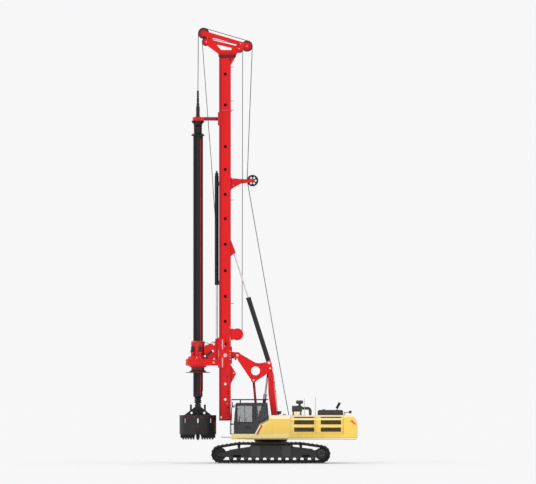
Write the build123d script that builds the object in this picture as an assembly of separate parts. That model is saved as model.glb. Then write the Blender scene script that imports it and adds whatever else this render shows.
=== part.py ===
from build123d import *
import os
from math import atan2, cos, hypot, pi, radians, sin, sqrt

# Rotary piling rig, millimetres
# Origin on the slewing axis at the ground, +X towards the mast, +Y towards the cab, +Z up

# Clearances
pin_fit = 0.05            # radial, pin in its bore
slide_fit = 0.3           # between faces that slide or turn on each other
running_gap = 6.0         # between pieces that move past each other
open_eye_clearance = 9.0  # round the rod's eye where a linkage is left open
cap_thick = 14.0          # keeper plate on the end of a pin
cap_rim = 22.0            # how far the keeper plate stands out round the pin

# Undercarriage
track_gauge = 3500.0
shoe_width = 800.0
chain_width = 210.0
idler_x = 2535.0
sprocket_x = -2545.0
end_wheel_z = 450.0
carrier_places_x = (1585.0, -1505.0)
carrier_radius = 75.0
track_top_z = 1055.0
link_height = 75.0
shoe_thick = 32.0
grouser_height = 28.0
shoe_count = 60
end_wheel_width = 170.0
roller_count = 12
roller_pitch = 372.0
roller_middle_x = -75.0
roller_radius = 115.0
roller_width = 230.0
frame_half_width = 190.0
frame_bottom_z = 282.0
frame_wall = 62.0
beam_front_x = (535.0, 985.0)
beam_rear_x = (-1065.0, -600.0)
beam_bottom_z = 430.0
beam_top_z = 880.0
leg_pad_thick = 20.0
carbody_half_width = 820.0
pedestal_radius = 810.0
pedestal_top_z = 1050.0

# Slewing ring
ring_top_z = 1180.0
ring_outer_radius = 830.0
ring_foot_radius = 790.0
ring_inner_radius = 620.0

# Upper frame
deck_bottom_z = 1200.0
deck_top_z = 1465.0
deck_plate = 25.0
skirt_plate = 25.0
body_half_width = 1500.0
deck_rear_x = -3650.0
deck_front_x = 1965.0
centre_front_x = 1250.0
centre_half_width = 520.0
floor_plate = 40.0
web_inner = 340.0
web_thick = 60.0

# Parallel linkage, pin centres as (x, z)
boom_foot = (-210.0, 2150.0)
boom_top = (25.0, 4740.0)
support_foot = (620.0, 1550.0)
support_top = (855.0, 4140.0)
mast_pivot = (1660.0, 5395.0)
cylinder_seat = (84.0, 5012.0)
lift_foot = (470.0, 1900.0)
lift_top = (130.0, 4560.0)
boom_half_width = web_inner - running_gap
boom_leg_width = 100.0
boom_pin_radius = 80.0
boom_top_pin_radius = 65.0
support_width = 80.0
support_pin_radius = 55.0
triangle_plate = 45.0
triangle_hole = (758.0, 4607.0)
triangle_hole_radius = 222.0
pivot_pin_radius = 70.0
pivot_journal_radius = 90.0

# Lift cylinders of the linkage
lift_y = 120.0
lift_barrel_radius = 85.0
lift_rod_radius = 48.0
lift_barrel_length = 1560.0
lift_pin_radius = 50.0
lift_eye_radius = 92.0
lift_eye_width = 110.0

# Mast tilt cylinders
tilt_y = 200.0
tilt_top = (1845.0, 10550.0)
tilt_barrel_radius = 118.0
tilt_rod_radius = 40.0
tilt_barrel_length = 3430.0
tilt_shaft_radius = 50.0
tilt_trunnion_radius = 35.0
tilt_block_half = 60.0
tilt_fork_gap = 5.0
tilt_fork_plate = 35.0
tilt_eye_radius = 70.0
tilt_eye_width = 90.0
tilt_eye_side_gap = 24.0      # the open eye drifts sideways when the mast tilts both ways
tilt_bracket_plate = 26.0

# Mast
mast_rear_x = 1993.0
mast_front_x = 2581.0
mast_half_width = 330.0
mast_wall = 18.0
mast_foot_z = 2140.0
lower_mast_length = 15460.0
head_section_length = 2710.0
mast_joint_z = mast_foot_z + lower_mast_length
mast_top_z = mast_joint_z + head_section_length
rail_width = 65.0
rail_thick = 60.0
mast_hole_radius = 80.0
mast_hole_x = 2270.0
mast_hole_z = (5950.0, 7080.0, 8330.0, 9615.0, 10930.0, 12220.0, 13430.0, 14675.0, 15820.0)
mast_low_hole_z = (3175.0, 3950.0)
top_hole_z = (mast_joint_z + 305.0, mast_joint_z + 1840.0)
head_flange_thick = 125.0
joint_flange_thick = 30.0
joint_flange_rim = 40.0
joint_rim_rail_gap = 125.0     # room for the guide frame's shoes behind the rails

# Head of the mast, sheave centres as (x, z)
main_front = (3355.0, mast_top_z + 1175.0)
main_rear = (1180.0, mast_top_z + 535.0)
aux_front = (3225.0, mast_top_z + 750.0)
aux_rear = (1575.0, mast_top_z + 405.0)
main_sheave_radius = 280.0
aux_sheave_radius = 215.0
main_sheave_width = 90.0
aux_sheave_width = 70.0
aux_rope_y = 97.0
head_plate_inner = 150.0
head_plate = 32.0
sheave_pin_radius = 45.0

# Rope guide sheave behind the mast
guide_centre = (907.0, 14120.0)
guide_radius = 290.0
guide_plate_inner = 56.0
guide_plate = 26.0

# Auxiliary winch behind the mast, main winch on the upper frame
aux_winch = (1670.0, 6435.0)
aux_winch_flange = 300.0
aux_winch_drum_radius = 235.0
aux_winch_half = 262.0
aux_winch_cheek = 26.0
main_winch = (-1303.0, 1950.0)
main_winch_flange = 400.0
main_winch_drum_radius = 315.0
main_winch_half = 326.0
winch_pin_radius = 60.0
winch_flange_thick = 24.0

# Crowd cylinder in front of the mast
crowd_x = 2700.0
crowd_barrel_z = (8900.0, 14350.0)
crowd_barrel_radius = 100.0
crowd_bore_radius = 72.0
crowd_rod_radius = 45.0
crowd_rod_top_z = 11900.0

# Carriage and rotary drive
carriage_z = (4765.0, 6270.0)
carriage_rear_x = 2285.0
carriage_side = 55.0
carriage_front_plate = 59.0
kelly_x = 3640.0
drive_z = (4870.0, 5200.0)
drive_cover_z = 5325.0
drive_radius = 610.0
drive_cover_radius = 495.0
drive_rear_half_width = 420.0
sleeve_radius = 330.0
sleeve_bore_radius = 264.0
sleeve_flange_radius = 430.0
sleeve_cap_radius = 342.0
sleeve_cap_z = (5865.0, 6100.0)
skirt_radius = 630.0
skirt_z = 4510.0
motor_ring_radius = 430.0
motor_radius = 92.0
motor_angles = (50.0, 105.0, -50.0, -105.0)
motor_top_z = 5850.0

# Kelly bar
kelly_outer_radius = 235.0
kelly_tube_wall = 30.0
kelly_key_width = 60.0
kelly_key_height = 20.0
kelly_hang = 4165.0           # the bar's top below the front head sheave's axle
kelly_top_z = main_front[1] - kelly_hang
kelly_tube_bottom_z = 3400.0
kelly_foot_cone = 150.0
kelly_flange_z = (kelly_top_z - 970.0, kelly_top_z - 910.0)
kelly_flange_radius = 330.0
kelly_neck_radius = 203.0
kelly_head_z = (kelly_top_z - 285.0, kelly_top_z - 200.0 - slide_fit)
kelly_head_radius = 311.0
kelly_journal_radius = 140.0
middle_radius = 198.0
middle_wall = 26.0
inner_radius = 165.0
inner_wall = 40.0
stub_radius = 93.0
stub_top_z = kelly_top_z + 500.0
spring_radius = 178.0
spring_coils = 3
rope_eye_bore = 22.0
rope_eye_width = 56.0
rope_eye_z = kelly_top_z + 1240.0

# Guide frame of the kelly head
follower_z = (kelly_top_z - 200.0, kelly_top_z - 25.0)
follower_radius = 265.0
follower_shoe_z = (kelly_top_z - 440.0, kelly_top_z + 220.0)

# Drilling bucket
tool_tip_z = 1140.0
bucket_radius = 920.0
bucket_wall = 26.0
bucket_bottom_z = 1490.0
bucket_top_z = 2395.0
bucket_lid = 40.0
bucket_slot_count = 8
bucket_slot = (60.0, 230.0)
bucket_slot_z = 2115.0
tool_box_half = 150.0
tool_box_top_z = 2955.0
gate_plate = 60.0
gate_hinge_out = 40.0
gate_hinge_z = 1475.0
gate_pin_radius = 16.0
gate_lug_inner = 45.0
gate_lug_thick = 25.0
tooth_count = 5
tooth_reach = 110.0
tooth_half_width = 50.0

# Engine housing
hood_top_z = 2400.0
hood_front_x = 90.0
hood_wall = 30.0
fairing_lap = 150.0
fairing_plate = 14.0
cab_fairing_gap = 0.4
engine_bay_x = (-3650.0, -1820.0)
well_half_width = 560.0
door_gap = 6.0
door_z = (1520.0, 2370.0)
front_door_x = (-2235.0, -1020.0)
rear_door_x = (-3600.0, -2250.0)
grille_rows = ((1575.0, 1790.0), (1940.0, 2155.0), (2262.0, 2325.0))   # low z, high z
slat_pitch = 54.0
front_grille_x = (-2175.0, -1170.0)
rear_grille_x = (-3515.0, -2500.0)
slat_thick = 10.0
hinge_pin_radius = 9.0
hinge_eye_radius = 17.0
hinge_offset = 20.0
hinge_length = 90.0

# Counterweight
tail_x = -4350.0
tail_bottom_z = 1180.0
tail_corner_radius = 520.0
lifting_eye_x = -3720.0
lifting_eye_y = 700.0
lifting_eye_z = 2460.0
lifting_eye_bore = 32.0
lifting_eye_thick = 40.0

# Cab
cab_rear_x = 90.0
cab_front_x = 1850.0
cab_inner_y = 570.0
cab_top_z = 3020.0
cab_window_low_z = 2060.0
cab_window_high_z = 2880.0
cab_window_corner = 50.0
door_x = (830.0, 1715.0)
door_rim = 46.0
cab_door_z = (deck_top_z + 70.0, 2925.0)
rear_side_window_x = (200.0, 745.0)
door_handle_z = 1850.0
console_width = 120.0
console_wall_gap = 30.0
seat_console_gap = 20.0
seat_z = 1940.0
cab_wall = 45.0
cab_floor = 40.0
pane_thick = 10.0
guard_plate_z = 3150.0
guard_plate_thick = 55.0
guard_front_x = 1965.0


# Drawing helpers

def side_slab(sketch, y_low, y_high):
    # a side view, drawn as (x, z), made into a plate between two y values
    return extrude(Pos(0, y_low, 0) * (Plane.XZ * sketch), amount=y_high - y_low, dir=(0, 1, 0))


def plan_slab(sketch, z_low, z_high):
    # a plan view, drawn as (x, y), made into a plate between two heights
    return extrude(Pos(0, 0, z_low) * sketch, amount=z_high - z_low, dir=(0, 0, 1))


def front_slab(sketch, x_low, x_high):
    # a front view, drawn as (y, z), made into a plate between two x values
    return extrude(Pos(x_low, 0, 0) * (Plane.YZ * sketch), amount=x_high - x_low, dir=(1, 0, 0))


def block(x_range, y_range, z_range):
    sizes = [high - low for low, high in (x_range, y_range, z_range)]
    low_corner = Pos(x_range[0], y_range[0], z_range[0])
    return low_corner * Box(*sizes, align=(Align.MIN, Align.MIN, Align.MIN))


def pin(centre, radius, y_low, y_high):
    return side_slab(Pos(*centre) * Circle(radius), y_low, y_high)


def post(x, y, radius, z_low, z_high):
    return Pos(x, y, z_low) * Cylinder(radius, z_high - z_low,
                                       align=(Align.CENTER, Align.CENTER, Align.MIN))


def turned(profile, x=0.0, y=0.0):
    # a closed (radius, z) profile turned about a vertical line
    face = Plane.XZ * Polygon(*profile, align=None)
    return Pos(x, y, 0) * revolve(face, Axis.Z)


def outline(*points):
    return Polygon(*points, align=None)


def round_hull(*discs):
    # the band round a set of (x, z, radius) discs
    edges = []
    for x, z, radius in discs:
        edges += (Pos(x, z) * Circle(radius)).edges()
    return make_hull(edges)


def mirrored(shape):
    return mirror(shape, Plane.XZ)


def both_sides(shape):
    return shape + mirrored(shape)


def capped_pin(centre, radius, y_inner, y_outer):
    # journals on both sides with a keeper plate outside each wall
    journal = pin(centre, radius, y_inner, y_outer + slide_fit + cap_thick)
    cap = pin(centre, radius + cap_rim, y_outer + slide_fit, y_outer + slide_fit + cap_thick)
    return both_sides(journal + cap)


def axis_plane(start, end, y=0.0):
    # origin at start, local Z towards end, local Y along the row's Y
    run = hypot(end[0] - start[0], end[1] - start[1])
    along = ((end[0] - start[0]) / run, (end[1] - start[1]) / run)
    return Plane(origin=(start[0], y, start[1]), x_dir=(along[1], 0, -along[0]),
                 z_dir=(along[0], 0, along[1]))


def distance(start, end):
    return hypot(end[0] - start[0], end[1] - start[1])


def along_z(radius, low, high):
    return Pos(0, 0, low) * Cylinder(radius, high - low, align=(Align.CENTER, Align.CENTER, Align.MIN))


def along_y(radius, width, z=0.0):
    return Pos(0, 0, z) * Rot(90, 0, 0) * Cylinder(radius, width)


def along_x(radius, low, high, z=0.0):
    return Pos(low, 0, z) * Rot(0, 90, 0) * Cylinder(radius, high - low,
                                                     align=(Align.CENTER, Align.CENTER, Align.MIN))


# Track loop: the band round four wheels, walked from the rear along the ground

track_y = track_gauge / 2
track_depth = link_height + shoe_thick + grouser_height
carrier_z = track_top_z - track_depth - carrier_radius
track_wheels = (
    (sprocket_x, end_wheel_z, end_wheel_z),
    (idler_x, end_wheel_z, end_wheel_z),
    (carrier_places_x[0], carrier_z, carrier_radius + track_depth),
    (carrier_places_x[1], carrier_z, carrier_radius + track_depth),
)


def track_runs():
    # each straight run's start, end and outward normal angle, with the wheel it leads to
    runs = []
    for i, (x0, z0, r0) in enumerate(track_wheels):
        x1, z1, r1 = track_wheels[(i + 1) % len(track_wheels)]
        gap = hypot(x1 - x0, z1 - z0)
        lean = (r0 - r1) / gap
        ux, uz = (x1 - x0) / gap, (z1 - z0) / gap
        nx = lean * ux + sqrt(1 - lean * lean) * uz
        nz = lean * uz - sqrt(1 - lean * lean) * ux
        runs.append(((x0 + r0 * nx, z0 + r0 * nz), (x1 + r1 * nx, z1 + r1 * nz), atan2(nz, nx),
                     (x1, z1, r1)))
    return runs


def track_path():
    # pieces of the path as (length, function from distance to (x, z, normal angle))
    runs = track_runs()
    pieces = []
    for i, (start, end, angle, wheel) in enumerate(runs):
        length = distance(start, end)

        def on_run(s, start=start, end=end, angle=angle, length=length):
            share = s / length
            return start[0] + share * (end[0] - start[0]), start[1] + share * (end[1] - start[1]), angle

        pieces.append((length, on_run))
        turn = (runs[(i + 1) % len(runs)][2] - angle) % (2 * pi)
        x, z, radius = wheel

        def on_wheel(s, x=x, z=z, radius=radius, angle=angle):
            here = angle + s / radius
            return x + radius * cos(here), z + radius * sin(here), here

        pieces.append((turn * radius, on_wheel))
    return pieces


def track_point(pieces, s, depth):
    # the point at distance s along the loop and so far below the grouser tips
    total = sum(length for length, _ in pieces)
    s %= total
    for length, place in pieces:
        if s <= length:
            x, z, angle = place(s)
            return x - depth * cos(angle), z - depth * sin(angle)
        s -= length
    return track_point(pieces, 0.0, depth)


# one shoe along its pitch, as (share of the pitch, depth below the grouser tips)
shoe_profile = (
    (0.02, grouser_height + shoe_thick),
    (0.04, grouser_height),
    (0.34, grouser_height),
    (0.40, 0.0),
    (0.52, 0.0),
    (0.58, grouser_height),
    (0.95, grouser_height),
    (0.97, grouser_height + shoe_thick),
)


def track_loop():
    pieces = track_path()
    pitch = sum(length for length, _ in pieces) / shoe_count
    outer = []
    joint = []
    inner = []
    for i in range(shoe_count):
        for share, depth in shoe_profile:
            outer.append(track_point(pieces, (i + share) * pitch, depth))
        joint.append(track_point(pieces, i * pitch, grouser_height + shoe_thick + 6))
        inner.append(track_point(pieces, i * pitch, track_depth))
    shoes = side_slab(outline(*outer) - outline(*joint), -shoe_width / 2, shoe_width / 2)
    band = round_hull(*[(x, z, r - grouser_height - shoe_thick - 2) for x, z, r in track_wheels])
    hole = round_hull(*[(x, z, r - track_depth) for x, z, r in track_wheels])
    chain = side_slab(band - hole, -chain_width / 2, chain_width / 2)
    return shoes + chain


def roller(x):
    # flanged roller on its shaft, with the two end blocks that bolt under the frame
    z = track_depth + slide_fit + roller_radius
    tread = Pos(x, 0, z) * along_y(roller_radius, roller_width - 2 * link_height / 3)
    shaft = Pos(x, 0, z) * along_y(30, 2 * (frame_half_width - frame_wall) + 4)
    foot = block((x - 58, x + 58), (frame_half_width - frame_wall, frame_half_width),
                 (z - 48, frame_bottom_z))
    return tread + shaft + both_sides(foot)


def idler_wheel():
    rim = end_wheel_z - track_depth - slide_fit
    half = end_wheel_width / 2
    profile = outline((40, -half), (110, -half), (130, -half + 45), (rim - 60, -half + 45),
                      (rim - 45, -half + 5),
                      (rim, -half + 5), (rim, half - 5), (rim - 45, half - 5), (rim - 60, half - 45),
                      (130, half - 45), (110, half), (40, half))
    wheel = revolve(profile, Axis.Y)
    shaft = along_y(40, 2 * frame_half_width)
    return Pos(idler_x, 0, end_wheel_z) * (wheel + shaft)


def sprocket_wheel():
    root = end_wheel_z - track_depth - slide_fit
    disc = Circle(root)
    tooth_gap = Circle(26)
    for i in range(21):
        disc -= Rot(0, 0, i * 360 / 21) * Pos(root, 0) * tooth_gap
    teeth = side_slab(disc, -38, 38)
    hub = along_y(245, 300)
    cover = Pos(0, 190, 0) * along_y(205, 80)
    return Pos(sprocket_x, 0, end_wheel_z) * (teeth + hub + cover)


def carrier_roller(x, frame):
    tread = Pos(x, 0, carrier_z - slide_fit) * along_y(carrier_radius, 150)
    stand = block((x - 55, x + 55), (-150, 150), (frame_bottom_z + 200, carrier_z - carrier_radius - 10))
    cheek = block((x - 45, x + 45), (85, 125), (carrier_z - carrier_radius - 10, carrier_z + 40))
    shaft = Pos(x, 0, carrier_z - slide_fit) * along_y(25, 250)
    return (tread + shaft + both_sides(cheek) + stand) - frame


def frame_side_view():
    beam = outline((2080, frame_bottom_z), (2080, 640), (1050, 800), (beam_front_x[1], 905),
                   (beam_rear_x[0], 905), (-1130, 800), (-2080, 690), (-2230, 560), (-2150, frame_bottom_z))
    return fillet(beam.vertices().group_by(Axis.Y)[-1], 30)


def track_frame():
    half = frame_half_width
    beam = side_slab(frame_side_view(), -half, half)
    channel = block((-2300, 2200), (-(half - frame_wall), half - frame_wall), (0, frame_bottom_z + 105))
    sprocket_room = Pos(sprocket_x, 0, end_wheel_z) * along_y(end_wheel_z - track_depth + 30, 260)
    beam = beam - channel - sprocket_room
    arm = outline((1980, 300), (1980, 620), (2420, 540), (2640, 520), (2680, 450), (2640, 380), (2420, 330))
    arm = side_slab(fillet(arm.vertices(), 30), end_wheel_width / 2 + 12, half)
    arm -= Pos(idler_x, 0, end_wheel_z) * along_y(40 + pin_fit, 3 * half)
    motor_plate = round_hull((sprocket_x, end_wheel_z, 262), (-2150, 470, 130))
    motor_plate = side_slab(motor_plate, half - 40, half - 4)
    motor_plate -= Pos(sprocket_x, 0, end_wheel_z) * along_y(245 + slide_fit, 3 * half)
    motor_plate -= Pos(sprocket_x, 0, end_wheel_z) * along_y(205 + slide_fit, 8 * half)
    pads = []
    for low, high in (beam_front_x, beam_rear_x):
        pads.append(block((low, high), (half, half + leg_pad_thick), (frame_bottom_z + 20, 870)))
    frame = beam + both_sides(arm) + motor_plate
    for pad in pads:
        frame += pad
    return frame


def carbody():
    inner_end = track_y - frame_half_width
    body = block((beam_rear_x[0], beam_front_x[1]), (-carbody_half_width, carbody_half_width),
                 (beam_bottom_z - 20, beam_top_z + 20))
    body = fillet(body.edges().filter_by(Axis.Z), 120)
    for low, high in (beam_front_x, beam_rear_x):
        body += block((low, high), (-inner_end, inner_end), (beam_bottom_z, beam_top_z))
    body += post(0, 0, pedestal_radius, beam_top_z - 50, pedestal_top_z)
    body -= post(0, 0, 420, beam_bottom_z + 40, pedestal_top_z + 10)
    return body


def slewing_ring():
    lip_z = pedestal_top_z + 45
    return turned(((ring_inner_radius, pedestal_top_z), (ring_foot_radius, pedestal_top_z),
                   (ring_foot_radius, lip_z), (ring_outer_radius, lip_z + 30),
                   (ring_outer_radius, ring_top_z), (ring_inner_radius, ring_top_z)))


# Upper structure

def upper_frame():
    web_side = outline((deck_rear_x, ring_top_z + 30), (deck_rear_x, deck_top_z - 5),
                       (-1730, deck_top_z - 5),
                       (-1540, 2110), (-1080, 2110), (-900, 1560), (-760, 1560), (-400, 2330), (-40, 2330),
                       (560, 2060), (790, 1660), (1000, 1500), (centre_front_x, 1440),
                       (centre_front_x, ring_top_z + 30))
    for centre, radius in ((boom_foot, boom_pin_radius), (support_foot, support_pin_radius),
                           (main_winch, winch_pin_radius)):
        web_side -= Pos(*centre) * Circle(radius + pin_fit)
    web = side_slab(web_side, web_inner, web_inner + web_thick)
    frame = both_sides(web)
    bottom = ring_top_z + slide_fit
    frame += block((deck_rear_x, centre_front_x), (-centre_half_width, centre_half_width),
                   (bottom, bottom + floor_plate))
    frame += pin(lift_foot, lift_pin_radius, -web_inner - 1, web_inner + 1)
    for x in (-3200.0, -2300.0, -300.0, 1150.0):
        frame += block((x, x + 30), (-web_inner - 1, web_inner + 1),
                       (bottom + floor_plate, deck_top_z - deck_plate))
    deck = block((deck_rear_x, deck_front_x), (web_inner + 20, body_half_width),
                 (deck_top_z - deck_plate, deck_top_z))
    deck -= block((centre_front_x, deck_front_x + 1), (0, cab_inner_y - 40), (0, 5000))
    deck += block((deck_rear_x, deck_front_x), (body_half_width - skirt_plate, body_half_width),
                  (deck_bottom_z, deck_top_z))
    deck += block((deck_front_x - skirt_plate, deck_front_x), (cab_inner_y - 40, body_half_width),
                  (deck_bottom_z, deck_top_z))
    for x in (-3640.0, -2200.0, -1020.0, 60.0, 1080.0):
        deck += block((x, x + 25), (web_inner + web_thick - 1, body_half_width - 5),
                      (deck_bottom_z, deck_top_z - 5))
    return frame + both_sides(deck)


def louvre_door(x_range, grille_x, hinge_at_front):
    # engine door in the left wall: frame, grille rows with slats, and its hinge eyes
    y_out = body_half_width
    y_in = y_out - hood_wall
    low_x, high_x = x_range[0] + door_gap, x_range[1] - door_gap
    door = block((low_x, high_x), (y_in, y_out), (door_z[0] + door_gap, door_z[1] - door_gap))
    door = fillet(door.edges().filter_by(Axis.Y), 20)
    for low, high in grille_rows:
        door -= block(grille_x, (y_in - 1, y_out + 1), (low, high))
        slats = max(1, round((high - low) / slat_pitch))
        step = (high - low) / slats
        for i in range(slats):
            middle = low + (i + 0.5) * step
            slat = Rot(38, 0, 0) * Box(grille_x[1] - grille_x[0] + 8, hood_wall - 2, slat_thick)
            door += Pos((grille_x[0] + grille_x[1]) / 2, (y_in + y_out) / 2, middle) * slat
    hinge_x = x_range[1] if hinge_at_front else x_range[0]
    inward = -1 if hinge_at_front else 1
    for z in hinge_heights(door_z):
        door += hinge_eye(hinge_x, y_out, z, inward)
    return door


def hinge_heights(z_range):
    return (z_range[0] + 110, z_range[1] - 110 - hinge_length)


def hinge_eye(x, y_face, z, inward):
    # the eye turns on a pin that stands off the face; its strap lies on the door
    eye = post(x, y_face + hinge_offset, hinge_eye_radius, z, z + hinge_length)
    strap_x = sorted((x + inward * (door_gap + 4), x + inward * 95))
    strap = block(strap_x, (y_face - 1, y_face + hinge_offset - 4), (z + 5, z + hinge_length - 5))
    link_x = sorted((x, x + inward * 40))
    link = block(link_x, (y_face + hinge_offset - hinge_eye_radius, y_face + hinge_offset - 4),
                 (z + 5, z + hinge_length - 5))
    return (eye + strap + link) - post(x, y_face + hinge_offset, hinge_pin_radius + pin_fit, z - 1,
                                       z + hinge_length + 1)


def hinge_post(x, y_face, z, inward):
    # the fixed half: a pin through the eye, held by a lug below it and one above
    lug_x = sorted((x - inward * 30, x + inward * 0.0))
    hinge = post(x, y_face + hinge_offset, hinge_pin_radius, z - 30, z + hinge_length + 30)
    for low, high in ((z - 32, z - 1), (z + hinge_length + 1, z + hinge_length + 32)):
        hinge += post(x, y_face + hinge_offset, hinge_eye_radius, low, high)
        hinge += block(lug_x, (y_face - 1, y_face + hinge_offset), (low, high))
    return hinge


def hood():
    # hollow housing: engine bay across the back, a compartment each side of the winch well
    y_out = body_half_width
    low_z = deck_top_z
    plan = outline((engine_bay_x[0], -y_out), (hood_front_x, -y_out), (hood_front_x, y_out),
                   (engine_bay_x[0], y_out))
    well = outline((engine_bay_x[1], -well_half_width), (hood_front_x + 1, -well_half_width),
                   (hood_front_x + 1, well_half_width), (engine_bay_x[1], well_half_width))
    right_room = outline((-700, -y_out - 1), (hood_front_x + 1, -y_out - 1),
                         (hood_front_x + 1, -well_half_width - 1),
                         (-700, -well_half_width - 1))
    shape = plan - well - right_room
    shell = plan_slab(shape, low_z, hood_top_z)
    inner = offset(shape, amount=-hood_wall)
    shell -= plan_slab(inner, low_z - 1, hood_top_z - hood_wall)
    for x_range in (front_door_x, rear_door_x):
        hole = block(x_range, (y_out - hood_wall - 1, y_out + 1), door_z)
        shell = shell - hole - mirrored(hole)
    for x_range, at_front in ((front_door_x, True), (rear_door_x, False)):
        x = x_range[1] if at_front else x_range[0]
        inward = -1 if at_front else 1
        for z in hinge_heights(door_z):
            shell += both_sides(hinge_post(x, y_out, z, inward))
    return shell + fairing()


def fairing():
    # plate that runs on from the left wall over the lower rear corner of the cab
    fixed_x = hood_front_x - fairing_lap
    side = outline((fixed_x, deck_top_z), (795, deck_top_z), (790, deck_top_z + 20), (535, 1965),
                   (hood_front_x + 15, 2180), (fixed_x, 2180))
    y_low = body_half_width + cab_fairing_gap
    plate = side_slab(side, y_low, y_low + fairing_plate)
    return plate + block((fixed_x, hood_front_x - 30), (body_half_width - 1, y_low + 1),
                         (deck_top_z + 10, 2170))


def counterweight():
    side = outline((deck_rear_x, tail_bottom_z), (deck_rear_x, hood_top_z), (-3990, hood_top_z),
                   (-4165, 2310), (-4290, 2110), (tail_x, 1900), (tail_x, 1300),
                   (-4280, tail_bottom_z))
    corner = Rectangle(2 * (deck_rear_x - tail_x), 2 * body_half_width)
    corner = Pos(deck_rear_x, 0) * fillet(corner.vertices(), tail_corner_radius)
    weight = side_slab(side, -body_half_width, body_half_width) & plan_slab(corner, 0, 3000)
    for y in (-lifting_eye_y, lifting_eye_y):
        eye = round_hull((lifting_eye_x, lifting_eye_z, 62), (lifting_eye_x, hood_top_z - 20, 62))
        weight += side_slab(eye, y - lifting_eye_thick / 2, y + lifting_eye_thick / 2)
        weight -= pin((lifting_eye_x, lifting_eye_z), lifting_eye_bore, y - lifting_eye_thick,
                      y + lifting_eye_thick)
    return weight


def engine_block():
    return block((-2950, -2000), (-380, 380), (deck_top_z, 2150))


def exhaust_box():
    side = outline((-2345, hood_top_z), (-2345, 2590), (-2420, 2655), (-3560, 2655), (-3620, 2600),
                   (-3620, hood_top_z))
    box = side_slab(side, -650, 650)
    return box + post(-2650, 300, 70, 2640, 2690)


def air_cleaner():
    y = body_half_width - 500
    body = Pos(-1312, y, 2725) * Rot(0, 90, 0) * Cylinder(150, 505)
    legs = block((-1160, -1090), (y - 90, y + 90), (hood_top_z, 2640))
    legs += block((-1530, -1460), (y - 90, y + 90), (hood_top_z, 2640))
    neck = post(-1443, y, 60, 2840, 2965)
    cap = turned(((0, 2955), (90, 2955), (182, 2990), (182, 3110), (150, 3140), (0, 3140)), -1443, y)
    path = FilletPolyline((-1550, y, 2745), (-1975, y, 2745), (-1975, y, hood_top_z), radius=130)
    duct = sweep(Plane(origin=(-1550, y, 2745), z_dir=(-1, 0, 0)) * Circle(72), path)
    return body + legs + neck + cap + duct


def lamps():
    y = body_half_width
    front = block((-520, -290), (y - 320, y - 120), (2455, 2600))
    front += block((-430, -380), (y - 250, y - 190), (hood_top_z, 2460))
    work = Pos(-3375, 350, 2875) * Rot(0, -28, 0) * Box(130, 240, 330)
    work += block((-3345, -3300), (320, 380), (2655, 2800))
    tail = block((-3687, -3655), (y - 420, y - 385), (hood_top_z, 2555))
    tail += block((-3970, -3655), (y - 420, y - 385), (2530, 2560))
    tail += block((-4035, -3910), (y - 470, y - 335), (2490, 2625))
    return front, work, tail


def side_tank():
    # tank and step box on the right of the deck, ahead of the housing
    side = outline((-690, deck_top_z), (-690, 2330), (520, 2330), (760, 2100), (1350, 1950),
                   (1350, deck_top_z))
    tank = side_slab(fillet(side.vertices().group_by(Axis.Y)[-1], 40), -body_half_width,
                     -(well_half_width + 10))
    return tank


# Cab

def cab_side_view(inset=0.0):
    low = deck_top_z + (cab_floor if inset else 0.0)
    front = cab_front_x - inset
    rear = cab_rear_x + inset + 6
    top = cab_top_z - inset
    return outline((rear, low), (front, low), (front - 20, 1900), (front - 92, top - 50),
                   (front - 135, top), (rear + 60, top), (rear, 2300))


def cab_window(low_x, high_x, low_z, high_z):
    view = outline((low_x, low_z), (high_x, low_z), (high_x, high_z), (low_x, high_z))
    return fillet(view.vertices(), cab_window_corner)


def door_window():
    return cab_window(door_x[0] + door_rim, door_x[1] - door_rim, cab_window_low_z, cab_window_high_z)


def front_side_window():
    # the right wall has a fixed pane where the left one has the door
    return cab_window(door_x[0] + 90, door_x[1] - door_rim, 1750, cab_window_high_z)


def rear_side_window():
    low_x, high_x = rear_side_window_x
    view = outline((low_x, cab_window_low_z + 200), (low_x + 360, cab_window_low_z),
                   (high_x, cab_window_low_z),
                   (high_x, cab_window_high_z), (low_x + 15, cab_window_high_z))
    return fillet(view.vertices(), cab_window_corner)


def cab_end_window(side_rim, low_z, high_z):
    low_y, high_y = cab_inner_y + side_rim, body_half_width - side_rim
    view = outline((low_y, low_z), (high_y, low_z), (high_y, high_z), (low_y, high_z))
    return fillet(view.vertices(), cab_window_corner)


def windscreen_view():
    return cab_end_window(95, 1640, cab_top_z - 200)


def rear_window_view():
    return cab_end_window(120, 2200, cab_top_z - 200)


def cab_shell():
    outer = side_slab(cab_side_view(), cab_inner_y, body_half_width)
    inner = side_slab(cab_side_view(cab_wall), cab_inner_y + cab_wall, body_half_width - cab_wall)
    cab = outer - inner
    left_wall = (body_half_width - cab_wall - 1, body_half_width + 1)
    right_wall = (cab_inner_y - 1, cab_inner_y + cab_wall + 1)
    cab -= block(door_x, left_wall, cab_door_z)
    cab -= side_slab(rear_side_window(), *left_wall)
    cab -= side_slab(rear_side_window(), *right_wall)
    cab -= side_slab(front_side_window(), *right_wall)
    cab -= front_slab(windscreen_view(), 1600, 2000)
    cab -= front_slab(rear_window_view(), 0, 300)
    for z in hinge_heights(cab_door_z):
        cab += hinge_post(door_x[0], body_half_width, z, 1)
    return cab


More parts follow.
